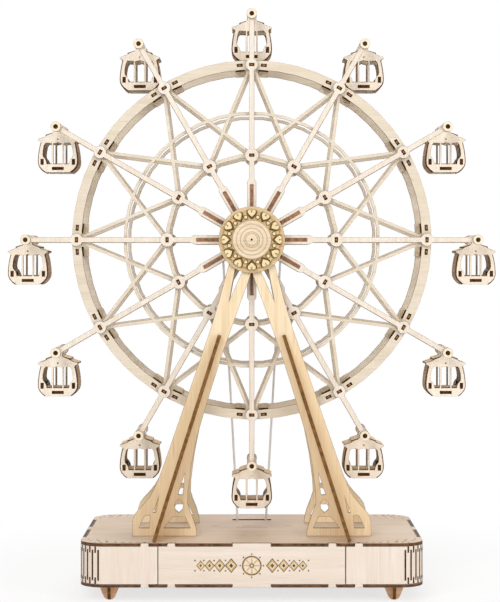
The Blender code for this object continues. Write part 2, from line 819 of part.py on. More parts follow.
def lattice_plate(name, face, parent):
    """Rim, two interlaced stars, middle ring and inner ring, cut from one board."""
    middle = -LATTICE_FACE - PLY / 2
    star_tip = NODE_RADIUS + STAR_WIDTH / 2
    star_root = INNER_RING_RADIUS + STAR_WIDTH / 4
    members = [
        ring_loops(WHEEL_RADIUS, 2 * RIM_WIDTH, RIM_STEPS),
        star_loops(star_tip, star_root, 0),
        star_loops(star_tip, star_root, 1),
        ring_loops(MIDDLE_RING_RADIUS, MIDDLE_RING_WIDTH, MIDDLE_RING_STEPS),
        ring_loops(INNER_RING_RADIUS, INNER_RING_WIDTH, INNER_RING_STEPS),
    ]
    pattern = None
    for index, loops in enumerate(members):
        thickness = PLY + OVERRUN + 2 * index * STEP_IN
        member = helper(name + "_member_" + str(index), upright_mesh(name, loops, thickness, middle))
        if pattern is None:
            pattern = member
        else:
            combine(pattern, member, "UNION")
    board = upright_mesh(name, [circle(WHEEL_RADIUS, RIM_STEPS, turn=math.pi / RIM_STEPS)], PLY, middle)
    uncut = helper(name + "_board", board)
    combine(uncut, pattern, "INTERSECT")
    mesh = take_mesh(uncut, name)
    for guide in [obj for obj in CUTTERS.objects if obj.name.startswith(name + "_member")]:
        bpy.data.objects.remove(guide)
    if face > 0:
        mesh = mirror_front(mesh)
    return place(name, mesh, "ply_face", parent)


def cross_bars():
    """Two bars at each node and a tie on each spoke, from the front lattice into the rear one."""
    front = -LATTICE_FACE + GAP
    back = LATTICE_FACE + PLY / 2
    length = back - front
    middle = (back + front) / 2
    bars = []
    for arm in range(ARM_COUNT):
        for side in (-1, 1):
            angle = arm * ARM_ANGLE + side * BAR_OFFSET / NODE_RADIUS
            size = (BAR_THICKNESS, length, BAR_WIDTH)
            bars.append(box_mesh("bar", size, (NODE_RADIUS, middle, 0.0), about_y(angle)))
        size = (TIE_HEIGHT, length, TIE_WIDTH)
        centre = (INNER_RING_RADIUS, middle, 0.0)
        bars.append(box_mesh("tie", size, centre, about_y(arm * ARM_ANGLE)))
    return group_mesh("cross_bars", bars)


def hub_spool(parent):
    """A sleeve on the axle with twelve fins, whose ears fill the slots of both spoke plates."""
    start = HOLE_RADIUS + SLEEVE_WALL / 2
    ear = HUB_DISC_RADIUS + GAP
    body = SPOKE_FACE - GAP
    outline = [
        (start, -body),
        (ear, -body),
        (ear, -SPOKE_FRONT),
        (FIN_RADIUS, -SPOKE_FRONT),
        (FIN_RADIUS, SPOKE_FRONT),
        (ear, SPOKE_FRONT),
        (ear, body),
        (start, body),
    ]
    fins = []
    for arm in range(ARM_COUNT):
        fins.append(moved(board_mesh("fin", [outline], FIN_THICKNESS), about_y(arm * ARM_ANGLE)))
    end = LEG_FACE - GAP
    sleeve_profile = [
        (HOLE_RADIUS, end),
        (HUB_SLEEVE_RADIUS, end),
        (HUB_SLEEVE_RADIUS, -end),
        (HOLE_RADIUS, -end),
        (HOLE_RADIUS, end),
    ]
    spool = place("hub_spool", turned_mesh("hub_spool", sleeve_profile, AXLE_STEPS), "ply_edge", parent)
    combine(spool, helper("hub_fins", group_mesh("hub_fins", fins)), "UNION")


def pivot_rod_mesh():
    """A rod through two arms, with an end disc outside each."""
    head = ROD_HEAD_FACE + ROD_HEAD_THICKNESS
    half = [
        (0.0, head),
        (PIVOT_HEAD_RADIUS, head),
        (PIVOT_HEAD_RADIUS, ROD_HEAD_FACE),
        (PIVOT_PIN_RADIUS, ROD_HEAD_FACE),
    ]
    profile = half + [(radius, -along) for radius, along in reversed(half)]
    return turned_mesh("rod", profile, PIVOT_STEPS)


def place_copies(name, mesh, material, parent, round_piece):
    """A copy of the mesh at each gondola pivot, on an empty of its own."""
    for arm in range(ARM_COUNT):
        x, z = polar(PIVOT_RADIUS, arm * ARM_ANGLE)
        number = str(arm + 1).zfill(2)
        pivot = joint_empty(name + "_pivot_" + number, (x, 0.0, z), parent)
        place(name + "_" + number, mesh.copy(), material, pivot, round_piece)
    bpy.data.meshes.remove(mesh)


def pulley_profile(pitch, bore):
    """Half section of a pulley with a V groove about the belt's plane, as a closed ring."""
    flange = pitch + FLANGE_HEIGHT
    return [
        (bore, PULLEY_HALF_WIDTH),
        (flange, PULLEY_HALF_WIDTH),
        (pitch - GROOVE_DEPTH, 0.0),
        (flange, -PULLEY_HALF_WIDTH),
        (bore, -PULLEY_HALF_WIDTH),
        (bore, PULLEY_HALF_WIDTH),
    ]


def pulley(name, pitch, bore, material, parent):
    mesh = turned_mesh(name, pulley_profile(pitch, bore), PULLEY_STEPS)
    mesh.transform(Matrix.Translation((0.0, BELT_PLANE, 0.0)))
    place(name, mesh, material, parent)


def build_wheel(wheel):
    for end, face in (("front", -1), ("rear", 1)):
        spoke_plate(end + "_spoke_plate", face, wheel)
    lattice_plate("front_lattice", -1, wheel)
    rear = lattice_plate("rear_lattice_with_cross_bars", 1, wheel)
    combine(rear, helper("cross_bars", cross_bars()), "UNION")
    hub_spool(wheel)
    place_copies("gondola_rod", pivot_rod_mesh(), "stick", wheel, True)
    front = BEARING_FACE + PLY
    back = BELT_PLANE + PULLEY_HALF_WIDTH + PLY
    profile = [(0.0, back), (AXLE_RADIUS, back), (AXLE_RADIUS, -front), (0.0, -front)]
    place("wheel_axle", turned_mesh("wheel_axle", profile, AXLE_STEPS), "stick", wheel, True)
    pulley("hub_pulley", HUB_PULLEY_PITCH, HOLE_RADIUS, "ply_warm", wheel)


# Gondolas


def gondola_frame(name, middle_y):
    half = shared(GONDOLA_SHARES, GONDOLA_HALF_WIDTH, GONDOLA_DROP)
    outline = [(0.0, CROWN_HEIGHT)] + half + mirrored(half)
    side = shared(GONDOLA_WINDOW_SHARES, GONDOLA_HALF_WIDTH, GONDOLA_DROP)
    bar = WINDOW_BAR_SHARE * GONDOLA_HALF_WIDTH
    top = -WINDOW_TOP_SHARE * GONDOLA_DROP
    sill = -WINDOW_FOOT_SHARE * GONDOLA_DROP
    middle = [(-bar, top), (bar, top), (bar, sill), (-bar, sill)]
    pivot = circle(PIVOT_PIN_RADIUS + GAP, PIVOT_STEPS, (0.0, 0.0), math.pi / PIVOT_STEPS)
    return upright_mesh(name, [outline, side, mirrored(side), middle, pivot], PLY, middle_y)


def roof_board(side, depth):
    start = Vector((ROOF_START_SHARES[0] * GONDOLA_HALF_WIDTH, ROOF_START_SHARES[1] * GONDOLA_DROP))
    end = Vector((ROOF_END_SHARES[0] * GONDOLA_HALF_WIDTH, ROOF_END_SHARES[1] * GONDOLA_DROP))
    run = end - start
    middle = (start + end) / 2
    slope = math.atan2(run.y, run.x)
    mesh = box_mesh("roof", (run.length, depth, GONDOLA_BOARD), (0.0, 0.0, 0.0), about_y(side * slope))
    return moved(mesh, Matrix.Translation((side * middle.x, 0.0, middle.y)))


def side_wall(depth):
    """The right side wall, bent to follow the frames' outline."""
    outer = shared(SIDE_WALL_SHARES, GONDOLA_HALF_WIDTH, GONDOLA_DROP)
    inner = [(x - GONDOLA_WALL, z) for x, z in reversed(outer[:-1])]
    inner[0] = (inner[0][0], inner[0][1] + GONDOLA_WALL / 2)
    foot = [(outer[-1][0], outer[-1][1] + GONDOLA_WALL)]
    return upright_mesh("side", [outer + foot + inner], depth)


def gondola_boards():
    """Floor, bench, side walls and roof boards, let into the two frames."""
    depth = 2 * GONDOLA_INNER + PLY
    width = GONDOLA_HALF_WIDTH
    drop = GONDOLA_DROP
    floor_size = (2 * FLOOR_HALF_SHARE * width, depth, GONDOLA_BOARD)
    bench_depth = BENCH_DEPTH_SHARE * 2 * GONDOLA_INNER
    bench_size = (2 * BENCH_HALF_SHARE * width, bench_depth, GONDOLA_BOARD)
    pieces = [
        box_mesh("floor", floor_size, (0.0, 0.0, -FLOOR_SHARE * drop)),
        box_mesh("bench", bench_size, (0.0, 0.0, -BENCH_SHARE * drop)),
    ]
    for side in (-1, 1):
        pieces.append(roof_board(side, depth))
    wall_depth = depth - 2 * STEP_IN
    other_wall = side_wall(wall_depth)
    other_wall.transform(Matrix.Scale(-1.0, 4, (1.0, 0.0, 0.0)))
    other_wall.flip_normals()
    return group_mesh("boards", pieces), group_mesh("sides", [side_wall(wall_depth), other_wall])


def gondola_mesh():
    frame_y = GONDOLA_INNER + PLY / 2
    frames = group_mesh("frames", [gondola_frame("frame", -frame_y), gondola_frame("frame", frame_y)])
    whole = helper("gondola_frames", frames)
    guides = []
    for mesh in gondola_boards():
        guides.append(helper("gondola_boards", mesh))
        combine(whole, guides[-1], "UNION")
    mesh = take_mesh(whole, "gondola")
    for guide in guides:
        bpy.data.objects.remove(guide)
    return mesh


# Belt drive


def belt_points():
    """The belt's middle line round the two pulleys, with straight runs between them."""
    span = HUB_HEIGHT - CRANK_HEIGHT
    lean = math.asin((HUB_PULLEY_PITCH - DRIVE_PULLEY_PITCH) / span)
    top = arc(HUB_PULLEY_PITCH, -lean, math.pi + lean, BELT_STEPS, (0.0, HUB_HEIGHT))
    foot_steps = BELT_STEPS // 2
    foot_end = 2 * math.pi - lean
    bottom = arc(DRIVE_PULLEY_PITCH, math.pi + lean, foot_end, foot_steps, (0.0, CRANK_HEIGHT))
    return top + bottom


def build_belt(stand):
    curve = bpy.data.curves.new("drive_belt", "CURVE")
    curve.dimensions = "3D"
    curve.bevel_depth = BELT_RADIUS
    curve.bevel_resolution = 1
    points = belt_points()
    spline = curve.splines.new("POLY")
    spline.points.add(len(points) - 1)
    for point, (x, z) in zip(spline.points, points):
        point.co = (x, BELT_PLANE, z, 1.0)
    spline.use_cyclic_u = True
    guide = bpy.data.objects.new("drive_belt", curve)
    bpy.context.scene.collection.objects.link(guide)
    place("drive_belt", take_mesh(guide, "drive_belt"), "cord", stand, True)


def build_crank(crank):
    shaft_start = BELT_PLANE - PULLEY_HALF_WIDTH - POST_SETBACK - PLY
    shaft_end = CRANK_ARM_FACE + PLY
    profile = [
        (0.0, shaft_end),
        (CRANK_SHAFT_RADIUS, shaft_end),
        (CRANK_SHAFT_RADIUS, shaft_start),
        (0.0, shaft_start),
    ]
    place("crank_shaft", turned_mesh("crank_shaft", profile, CRANK_STEPS), "stick", crank, True)
    bore = CRANK_SHAFT_RADIUS + GAP
    pulley("drive_pulley", DRIVE_PULLEY_PITCH, bore, "ply_warm", crank)
    half = CRANK_ARM_HALF_WIDTH
    quarter = math.pi / 2
    outline = arc(half, quarter, 3 * quarter, 8)
    outline += arc(half, -quarter, quarter, 8, (CRANK_ARM_LENGTH, 0.0))
    loops = [outline, circle(bore, CRANK_STEPS)]
    arm = upright_mesh("crank_arm", loops, PLY, CRANK_ARM_FACE + PLY / 2)
    place("crank_arm", arm, "ply_face", crank)
    end = KNOB_FACE + KNOB_LENGTH
    knob_profile = [
        (0.0, end),
        (KNOB_WAIST_RADIUS, end),
        (KNOB_RADIUS, end - KNOB_RADIUS / 2),
        (KNOB_RADIUS, end - KNOB_LENGTH / 2),
        (KNOB_WAIST_RADIUS, KNOB_FACE + KNOB_RADIUS / 2),
        (KNOB_WAIST_RADIUS, KNOB_FACE),
        (0.0, KNOB_FACE),
    ]
    knob = turned_mesh("crank_knob", knob_profile, CRANK_STEPS)
    place("crank_knob", moved(knob, Matrix.Translation((CRANK_ARM_LENGTH, 0.0, 0.0))), "stick", crank, True)


def build_post(stand):
    """The post that carries the inner end of the crank shaft."""
    middle = BELT_PLANE - PULLEY_HALF_WIDTH - POST_SETBACK - PLY / 2
    height = DECK_UNDER - GAP - PANEL_FOOT
    outline = rectangle(POST_HALF_WIDTH, height / 2, (0.0, PANEL_FOOT + height / 2))
    loops = [outline, circle(CRANK_SHAFT_RADIUS + GAP, CRANK_STEPS, (0.0, CRANK_HEIGHT))]
    place("crank_shaft_post", upright_mesh("post", loops, PLY, middle), "ply_face", stand)


def main():
    stand = joint_empty("stand", (0.0, SHIFT_Y, 0.0), None)
    wheel = joint_empty("wheel_axis", (0.0, 0.0, HUB_HEIGHT), stand)
    crank = joint_empty("crank_axis", (0.0, 0.0, CRANK_HEIGHT), stand)
    base = joint_empty("base", (0.0, BASE_SETBACK, 0.0), stand)
    build_base(base)
    build_frames(stand)
    build_wheel(wheel)
    place_copies("gondola", gondola_mesh(), "ply_face", wheel, False)
    build_belt(stand)
    build_post(stand)
    build_crank(crank)


main()
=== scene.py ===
"""Looks of the wooden ferris wheel puzzle: laser cut plywood with browned edges."""

import math

import bmesh
import bpy
from mathutils import Matrix, Vector


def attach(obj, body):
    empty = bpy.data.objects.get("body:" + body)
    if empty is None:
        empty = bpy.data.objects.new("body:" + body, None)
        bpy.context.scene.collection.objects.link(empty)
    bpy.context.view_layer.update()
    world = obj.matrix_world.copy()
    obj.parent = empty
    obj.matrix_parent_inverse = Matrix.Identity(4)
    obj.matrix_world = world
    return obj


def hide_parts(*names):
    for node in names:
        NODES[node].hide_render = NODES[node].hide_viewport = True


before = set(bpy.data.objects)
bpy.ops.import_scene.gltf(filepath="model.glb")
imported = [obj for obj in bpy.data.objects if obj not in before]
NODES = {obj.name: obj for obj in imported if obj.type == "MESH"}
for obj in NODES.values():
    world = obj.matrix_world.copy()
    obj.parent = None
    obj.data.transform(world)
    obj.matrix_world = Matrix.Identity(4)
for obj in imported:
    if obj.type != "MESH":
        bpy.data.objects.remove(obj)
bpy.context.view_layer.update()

MM = 0.001
X_AXIS = (1.0, 0.0, 0.0)
Y_AXIS = (0.0, 1.0, 0.0)
Z_AXIS = (0.0, 0.0, 1.0)
WHITE = (1.0, 1.0, 1.0, 1.0)

HUB = Vector((0.0, -13.5 * MM, 198.0 * MM))
ARMS = 12
ARM_ANGLE = 2 * math.pi / ARMS
PLY = 2.0 * MM
PIVOT_RADIUS = 127.2 * MM
DECK_TOP = 32.2 * MM
CHAMFER = 0.14 * MM

# Shader nodes


def srgb(red, green, blue):
    """A colour given as it looks on a screen, 0 to 255, as linear light."""
    made = []
    for value in (red, green, blue):
        value /= 255
        made.append(value / 12.92 if value <= 0.04045 else ((value + 0.055) / 1.055) ** 2.4)
    return (*made, 1.0)


def add(tree, kind, inputs=(), output=0, **settings):
    """A shader node with its inputs set or linked; gives one of its outputs."""
    node = tree.nodes.new("ShaderNode" + kind)
    for key, value in settings.items():
        setattr(node, key, value)
    for key, value in dict(inputs).items():
        socket = node.inputs[key]
        if isinstance(value, bpy.types.NodeSocket):
            tree.links.new(value, socket)
        else:
            socket.default_value = value
    return node.outputs[output]


def blend_colour(tree, factor, first, second):
    return add(tree, "Mix", {0: factor, 6: first, 7: second}, 2, data_type="RGBA")


def stretch(tree, value, low_in, high_in, low_out=0.0, high_out=1.0):
    inputs = {0: value, 1: low_in, 2: high_in, 3: low_out, 4: high_out}
    return add(tree, "MapRange", inputs, interpolation_type="SMOOTHSTEP")


def calculate(tree, operation, first, second=0.0):
    return add(tree, "Math", {0: first, 1: second}, operation=operation)


def combine(tree, operation, first, second):
    return add(tree, "VectorMath", {0: first, 1: second}, operation=operation)


def alignment(tree, first, second):
    """How far two directions lie along one line, from 0 to 1."""
    dot = add(tree, "VectorMath", {0: first, 1: second}, 1, operation="DOT_PRODUCT")
    return calculate(tree, "ABSOLUTE", dot)


def noise(tree, vector, scale, detail=3.0, roughness=0.55):
    inputs = {"Vector": vector, "Scale": scale, "Detail": detail, "Roughness": roughness}
    return add(tree, "TexNoise", inputs)


def own_position(tree):
    return add(tree, "TexCoord", output="Object")


def new_tree(name):
    material = bpy.data.materials.new(name)
    material.use_nodes = True
    tree = material.node_tree
    return material, tree, tree.nodes["Principled BSDF"]


def finish_surface(tree, shader, colour, rough, height, depth, strength=0.35):
    tree.links.new(colour, shader.inputs["Base Color"])
    tree.links.new(rough, shader.inputs["Roughness"])
    bump = add(tree, "Bump", {"Strength": strength, "Distance": depth, "Height": height})
    tree.links.new(bump, shader.inputs["Normal"])


# Woods and cord

EDGE = (srgb(116, 82, 54), srgb(74, 48, 30))
FIN_EDGE = (srgb(168, 122, 92), srgb(122, 86, 62))
RIB_EDGE = (srgb(138, 96, 48), srgb(98, 64, 28))
CORNER_EDGE = (srgb(82, 56, 38), srgb(48, 30, 18))
RIM_TONE = srgb(160, 130, 98)
BROAD_TINT = (1.0, 0.955, 0.88, 1.07)
BROAD_SHADE = 0.93
FLECK_SHADE = 0.72
FIBRE_DRAW = 0.965
RELIEF = 0.05 * MM


def face_measure(tree, normal, position, face):
    """How squarely a surface faces along the board's own face direction, from 0 to 1."""
    if face != "tangent":
        return alignment(tree, normal, face)
    offset = combine(tree, "SUBTRACT", position, tuple(HUB))
    flat = combine(tree, "MULTIPLY", offset, (1.0, 0.0, 1.0))
    across = combine(tree, "CROSS_PRODUCT", flat, Y_AXIS)
    tangent = add(tree, "VectorMath", {0: across}, operation="NORMALIZE")
    return alignment(tree, normal, tangent)


def toasted_rim(tree, face, surface, width):
    """Warms a face close to its cut edges, as the laser's heat does."""
    soft = add(tree, "Bevel", {"Radius": width}, samples=6)
    settings = {"vector_type": "NORMAL", "convert_from": "WORLD", "convert_to": "OBJECT"}
    own = add(tree, "VectorTransform", {"Vector": soft}, **settings)
    near = stretch(tree, alignment(tree, own, face), 0.76, 0.998, 0.9, 0.0)
    return blend_colour(tree, near, surface, RIM_TONE)


def plywood(
    name, light, dark, face=Y_AXIS, grain=X_AXIS, edge=EDGE, walls=False, seed=0.0, rim=0.0
):
    """Sanded plywood: long fine grain on its faces, burnt brown where the laser cut it.

    The cut edges are those that turn away from the face direction, or with walls those along it.
    """
    material, tree, shader = new_tree(name)
    coordinates = tree.nodes.new("ShaderNodeTexCoord")
    position = coordinates.outputs["Object"]
    normal = coordinates.outputs["Normal"]
    place = combine(tree, "ADD", position, (seed, seed, seed))
    across = tuple(1.0 - FIBRE_DRAW * abs(value) for value in grain)
    drawn = combine(tree, "MULTIPLY", place, across)
    fibres = noise(tree, drawn, 1500.0, 4.0, 0.62)
    bands = noise(tree, drawn, 260.0, 3.0, 0.5)
    broad = noise(tree, place, 26.0, 2.0)
    flecks = stretch(tree, noise(tree, drawn, 780.0, 2.0), 0.66, 0.74)
    fine = calculate(tree, "MULTIPLY", fibres, 0.55)
    share = calculate(tree, "ADD", fine, calculate(tree, "MULTIPLY", bands, 0.45))
    surface = blend_colour(tree, stretch(tree, share, 0.36, 0.66), light, dark)
    tone = stretch(tree, broad, 0.35, 0.65, 0.0, 0.5)
    warmer = tuple(BROAD_SHADE * value * tint for value, tint in zip(light, BROAD_TINT))
    surface = blend_colour(tree, tone, surface, warmer)
    deep = tuple(FLECK_SHADE * value for value in dark[:3]) + (1.0,)
    surface = blend_colour(tree, calculate(tree, "MULTIPLY", flecks, 0.45), surface, deep)
    if rim:
        surface = toasted_rim(tree, face, surface, rim)
    burnt = blend_colour(tree, stretch(tree, noise(tree, place, 420.0, 3.0), 0.3, 0.7), *edge)
    squarely = face_measure(tree, normal, position, face)
    reach = (0.0, 1.0) if walls else (1.0, 0.0)
    colour = blend_colour(tree, stretch(tree, squarely, 0.62, 0.8, *reach), surface, burnt)
    rough = stretch(tree, fibres, 0.3, 0.7, 0.52, 0.74)
    finish_surface(tree, shader, colour, rough, fibres, RELIEF)
    shader.inputs["Specular IOR Level"].default_value = 0.16
    return material


def browned(name, light, dark):
    """Small wood with no grain to see: burnt tenon ends, engraved lines, thin bars."""
    material, tree, shader = new_tree(name)
    patches = noise(tree, own_position(tree), 600.0, 4.0)
    colour = blend_colour(tree, stretch(tree, patches, 0.3, 0.7), light, dark)
    rough = stretch(tree, patches, 0.3, 0.7, 0.6, 0.85)
    finish_surface(tree, shader, colour, rough, patches, RELIEF)
    shader.inputs["Specular IOR Level"].default_value = 0.06
    return material


def elastic(name, light, dark):
    """Pale braided elastic cord, a little translucent."""
    material, tree, shader = new_tree(name)
    position = own_position(tree)
    inputs = {"Vector": position, "Scale": 420.0, "Distortion": 3.0}
    twist = add(tree, "TexWave", inputs, 1, bands_direction="Z")
    weave = noise(tree, position, 2400.0, 2.0)
    colour = blend_colour(tree, stretch(tree, twist, 0.2, 0.8), light, dark)
    rough = stretch(tree, weave, 0.3, 0.7, 0.55, 0.75)
    finish_surface(tree, shader, colour, rough, twist, 0.02 * MM, 0.2)
    shader.inputs["Subsurface Weight"].default_value = 0.9
    shader.inputs["Subsurface Radius"].default_value = (1.0, 1.0, 1.0)
    shader.inputs["Subsurface Scale"].default_value = 1.5 * MM
    return material


PINKISH = (srgb(236, 226, 213), srgb(222, 207, 190))
CABIN = (srgb(242, 230, 214), srgb(230, 214, 194))
PANEL = (srgb(237, 224, 212), srgb(225, 208, 192))
CREAM = (srgb(227, 216, 199), srgb(212, 197, 175))
IVORY = (srgb(242, 230, 208), srgb(228, 212, 186))
BUFF = (srgb(241, 222, 190), srgb(226, 200, 162))
SAND = (srgb(232, 213, 184), srgb(216, 193, 160))
STRAW = (srgb(238, 220, 178), srgb(224, 200, 152))
HONEY = (srgb(228, 202, 162), srgb(206, 174, 130))
AMBER = (srgb(224, 198, 152), srgb(198, 168, 120))
GOLD = (srgb(232, 198, 144), srgb(208, 168, 112))
ROSY = (srgb(234, 196, 164), srgb(208, 164, 130))
TAN = (srgb(226, 207, 187), srgb(210, 188, 166))
# Gondola side walls: plain wood darkened by painted shade, for the dim inside of the cabins.
PAINTED_WALL_SHADE = (srgb(182, 152, 120), srgb(142, 110, 82))

PLYWOODS = {
    "spoke_ply": (PINKISH, dict(grain=Z_AXIS, rim=0.45 * MM)),
    "lattice_ply": (CREAM, dict(seed=0.3, rim=0.5 * MM)),
    "leg_ply": (BUFF, dict(grain=Z_AXIS, seed=0.7, rim=0.7 * MM)),
    "front_ply": (PANEL, dict(seed=1.1)),
    "end_ply": (PANEL, dict(face=Z_AXIS, grain=Z_AXIS, edge=CORNER_EDGE, walls=True, seed=1.6)),
    "deck_ply": (TAN, dict(face=Z_AXIS, seed=2.1)),
    "hub_ply": (HONEY, dict(seed=2.6)),
    "petal_ply": (AMBER, dict(grain=Z_AXIS, seed=2.9)),
    "heart_ply": (STRAW, dict(grain=Z_AXIS, seed=3.0)),
    "cap_ply": (SAND, dict(seed=3.1)),
    "cabin_ply": (CABIN, dict(grain=Z_AXIS, seed=3.7, rim=0.25 * MM)),
    "cabin_wall_painted_shade": (PAINTED_WALL_SHADE, dict(grain=Y_AXIS, walls=True, seed=4.2)),
    "foot_ply": (ROSY, dict(seed=4.4)),
    "foot_cross_ply": (GOLD, dict(face=X_AXIS, grain=Y_AXIS, seed=4.5)),
    "cabin_floor_ply": (HONEY, dict(face=Z_AXIS, grain=Y_AXIS, seed=4.6)),
    "fin_ply": (CREAM, dict(face="tangent", grain=Y_AXIS, edge=FIN_EDGE, seed=5.1)),
    "rod_wood": (IVORY, dict(grain=Y_AXIS, seed=5.7)),
}
BROWNED = {
    "burnt_end": (srgb(84, 54, 28), srgb(44, 26, 12)),
    "tenon_core": (srgb(176, 132, 96), srgb(138, 96, 64)),
    "engraving": (srgb(176, 132, 78), srgb(134, 94, 50)),
    "bar_ply": (srgb(224, 210, 188), srgb(206, 188, 162)),
    "gilt": (srgb(222, 196, 140), srgb(196, 166, 108)),
    # Dark tone for engraved marks, and for the dark layers under the hub's hearts and beads, which
    # are partly the laser's char and partly painted shade.
    "char_and_painted_shade": (srgb(132, 102, 58), srgb(92, 66, 34)),
}

MATERIALS = {}
for name, (tones, settings) in PLYWOODS.items():
    MATERIALS[name] = plywood(name, *tones, **settings)
for name, tones in BROWNED.items():
    MATERIALS[name] = browned(name, *tones)
MATERIALS["belt_cord"] = elastic("belt_cord", srgb(252, 252, 252), srgb(236, 238, 241))

# Outlines in a plane


def polar(radius, angle):
    return (radius * math.cos(angle), radius * math.sin(angle))


def circle(radius, steps, centre=(0.0, 0.0)):
    points = []
    for step in range(steps):
        x, y = polar(radius, 2 * math.pi * step / steps)
        points.append((centre[0] + x, centre[1] + y))
    return points


def arc(radius, start, end, steps, centre=(0.0, 0.0)):
    points = []
    for step in range(steps + 1):
        x, y = polar(radius, start + (end - start) * step / steps)
        points.append((centre[0] + x, centre[1] + y))
    return points


def rectangle(half_x, half_y, centre=(0.0, 0.0)):
    corners = ((-1, -1), (1, -1), (1, 1), (-1, 1))
    return [(centre[0] + x * half_x, centre[1] + y * half_y) for x, y in corners]


def turned(points, angle):
    cosine, sine = math.cos(angle), math.sin(angle)
    return [(x * cosine - y * sine, x * sine + y * cosine) for x, y in points]


def mirrored(points):
    return [(-x, y) for x, y in reversed(points)]


def millimetres(points):
    return [(x * MM, y * MM) for x, y in points]


# Meshes

WELD_GAP = 0.002 * MM
BEVEL_ANGLE = math.radians(40)
SHARP_ANGLE = math.radians(32)


def put(name, data):
    """An object in the scene that shows a mesh, curve, light or camera."""
    obj = bpy.data.objects.new(name, data)
    bpy.context.scene.collection.objects.link(obj)
    return obj


def mesh_of(work, name):
    mesh = bpy.data.meshes.new(name)
    work.to_mesh(mesh)
    work.free()
    return mesh


def board(loops, thickness, chamfer=CHAMFER):
    """A board in the XY plane with chamfered edges, cut to the first loop, the others holes."""
    curve = bpy.data.curves.new("board", "CURVE")
    curve.dimensions = "2D"
    curve.fill_mode = "BOTH"
    curve.extrude = thickness / 2 - chamfer
    curve.bevel_depth = chamfer
    curve.bevel_resolution = 0
    curve.offset = -chamfer
    for loop in loops:
        spline = curve.splines.new("POLY")
        spline.points.add(len(loop) - 1)
        for point, (x, y) in zip(spline.points, loop):
            point.co = (x, y, 0.0, 1.0)
        spline.use_cyclic_u = True
    guide = put("board", curve)
    bpy.context.view_layer.update()
    graph = bpy.context.evaluated_depsgraph_get()
    mesh = bpy.data.meshes.new_from_object(guide.evaluated_get(graph))
    bpy.data.objects.remove(guide)
    bpy.data.curves.remove(curve)
    mesh.materials.clear()
    work = bmesh.new()
    work.from_mesh(mesh)
    bmesh.ops.remove_doubles(work, verts=work.verts, dist=0.0005 * MM)
    bmesh.ops.recalc_face_normals(work, faces=work.faces)
    work.to_mesh(mesh)
    work.free()
    return mesh


def moved(mesh, *steps):
    for step in steps:
        mesh.transform(step)
    return mesh


def shift(x, y, z):
    return Matrix.Translation((x, y, z))


def about_y(angle):
    """A turn that carries +X towards +Z."""
    return Matrix.Rotation(-angle, 4, "Y")


def about_z(angle):
    return Matrix.Rotation(angle, 4, "Z")


UPRIGHT = Matrix.Rotation(math.radians(90), 4, "X")


def upright(loops, thickness, y, chamfer=CHAMFER):
    """A board in the XZ plane, its middle at y."""
    return moved(board(loops, thickness, chamfer), UPRIGHT, shift(0.0, y, 0.0))


def block(size, centre, chamfer=CHAMFER):
    """A small chamfered block."""
    work = bmesh.new()
    bmesh.ops.create_cube(work, size=1.0)
    bmesh.ops.scale(work, vec=size, verts=work.verts)
    bmesh.ops.bevel(work, geom=work.edges[:], offset=chamfer, segments=1, affect="EDGES")
    bmesh.ops.translate(work, vec=centre, verts=work.verts)
    return mesh_of(work, "block")


def turning(profile, steps):
    """A body turned about the Y axis from points of (radius, along)."""
    work = bmesh.new()
    rings = []
    for radius, along in profile:
        if radius < 1e-9:
            rings.append([work.verts.new((0.0, along, 0.0))])
            continue
        ring = []
        for x, z in circle(radius, steps):
            ring.append(work.verts.new((x, along, z)))
        rings.append(ring)
    for first, second in zip(rings, rings[1:]):
        for step in range(steps):
            following = (step + 1) % steps
            corners = [
                first[step % len(first)],
                first[following % len(first)],
                second[following % len(second)],
                second[step % len(second)],
            ]
            kept = list(dict.fromkeys(corners))
            if len(kept) > 2:
                work.faces.new(kept)
    bmesh.ops.recalc_face_normals(work, faces=work.faces)
    return mesh_of(work, "turning")


def merged(name, parts):
    """One mesh from (mesh, material name) pairs."""
    work = bmesh.new()
    names = []
    for mesh, material in parts:
        if material not in names:
            names.append(material)
        before = len(work.faces)
        work.from_mesh(mesh)
        work.faces.ensure_lookup_table()
        for face in work.faces[before:]:
            face.material_index = names.index(material)
        bpy.data.meshes.remove(mesh)
    made = mesh_of(work, name)
    for material in names:
        made.materials.append(MATERIALS[material])
    return made


def piece(name, parts, body, replaced=(), place=None):
    """A visible piece that rides on a body, in place of the named solids."""
    mesh = merged(name, parts)
    if place is not None:
        mesh.transform(place)
    mesh.shade_smooth()
    mesh.set_sharp_from_angle(angle=SHARP_ANGLE)
    obj = put(name, mesh)
    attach(obj, body)
    if replaced:
        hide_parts(*replaced)


def dress(node, material, chamfer=CHAMFER):
    """A solid as it is, with a better surface and its sharp edges taken off."""
    obj = NODES[node]
    obj.data.materials.clear()
    obj.data.materials.append(MATERIALS[material])
    if chamfer:
        weld = obj.modifiers.new("weld", "WELD")
        weld.merge_threshold = WELD_GAP
        bevel = obj.modifiers.new("chamfer", "BEVEL")
        bevel.width = chamfer
        bevel.segments = 1
        bevel.limit_method = "ANGLE"
        bevel.angle_limit = BEVEL_ANGLE
        bevel.use_clamp_overlap = True


# Solids that keep their shape

LEG_RUN = 53.6 - 17.9
LEG_RISE = 112.2

for end in ("front", "rear"):
    dress(end + "_bearing_plate", "hub_ply")
    dress(end + "_panel", "front_ply")
dress("front_lattice", "lattice_ply", 0.0)
dress("rear_lattice_with_cross_bars", "lattice_ply", 0.0)
dress("top_deck", "deck_ply")
dress("base_board", "deck_ply")
dress("hub_spool", "fin_ply")
dress("wheel_axle", "rod_wood")
dress("hub_pulley", "hub_ply", 0.0)
dress("drive_pulley", "hub_ply", 0.0)
dress("crank_shaft", "rod_wood", 0.0)
dress("crank_shaft_post", "hub_ply")
dress("crank_arm", "hub_ply")
dress("crank_knob", "rod_wood", 0.0)
dress("drive_belt", "belt_cord", 0.0)

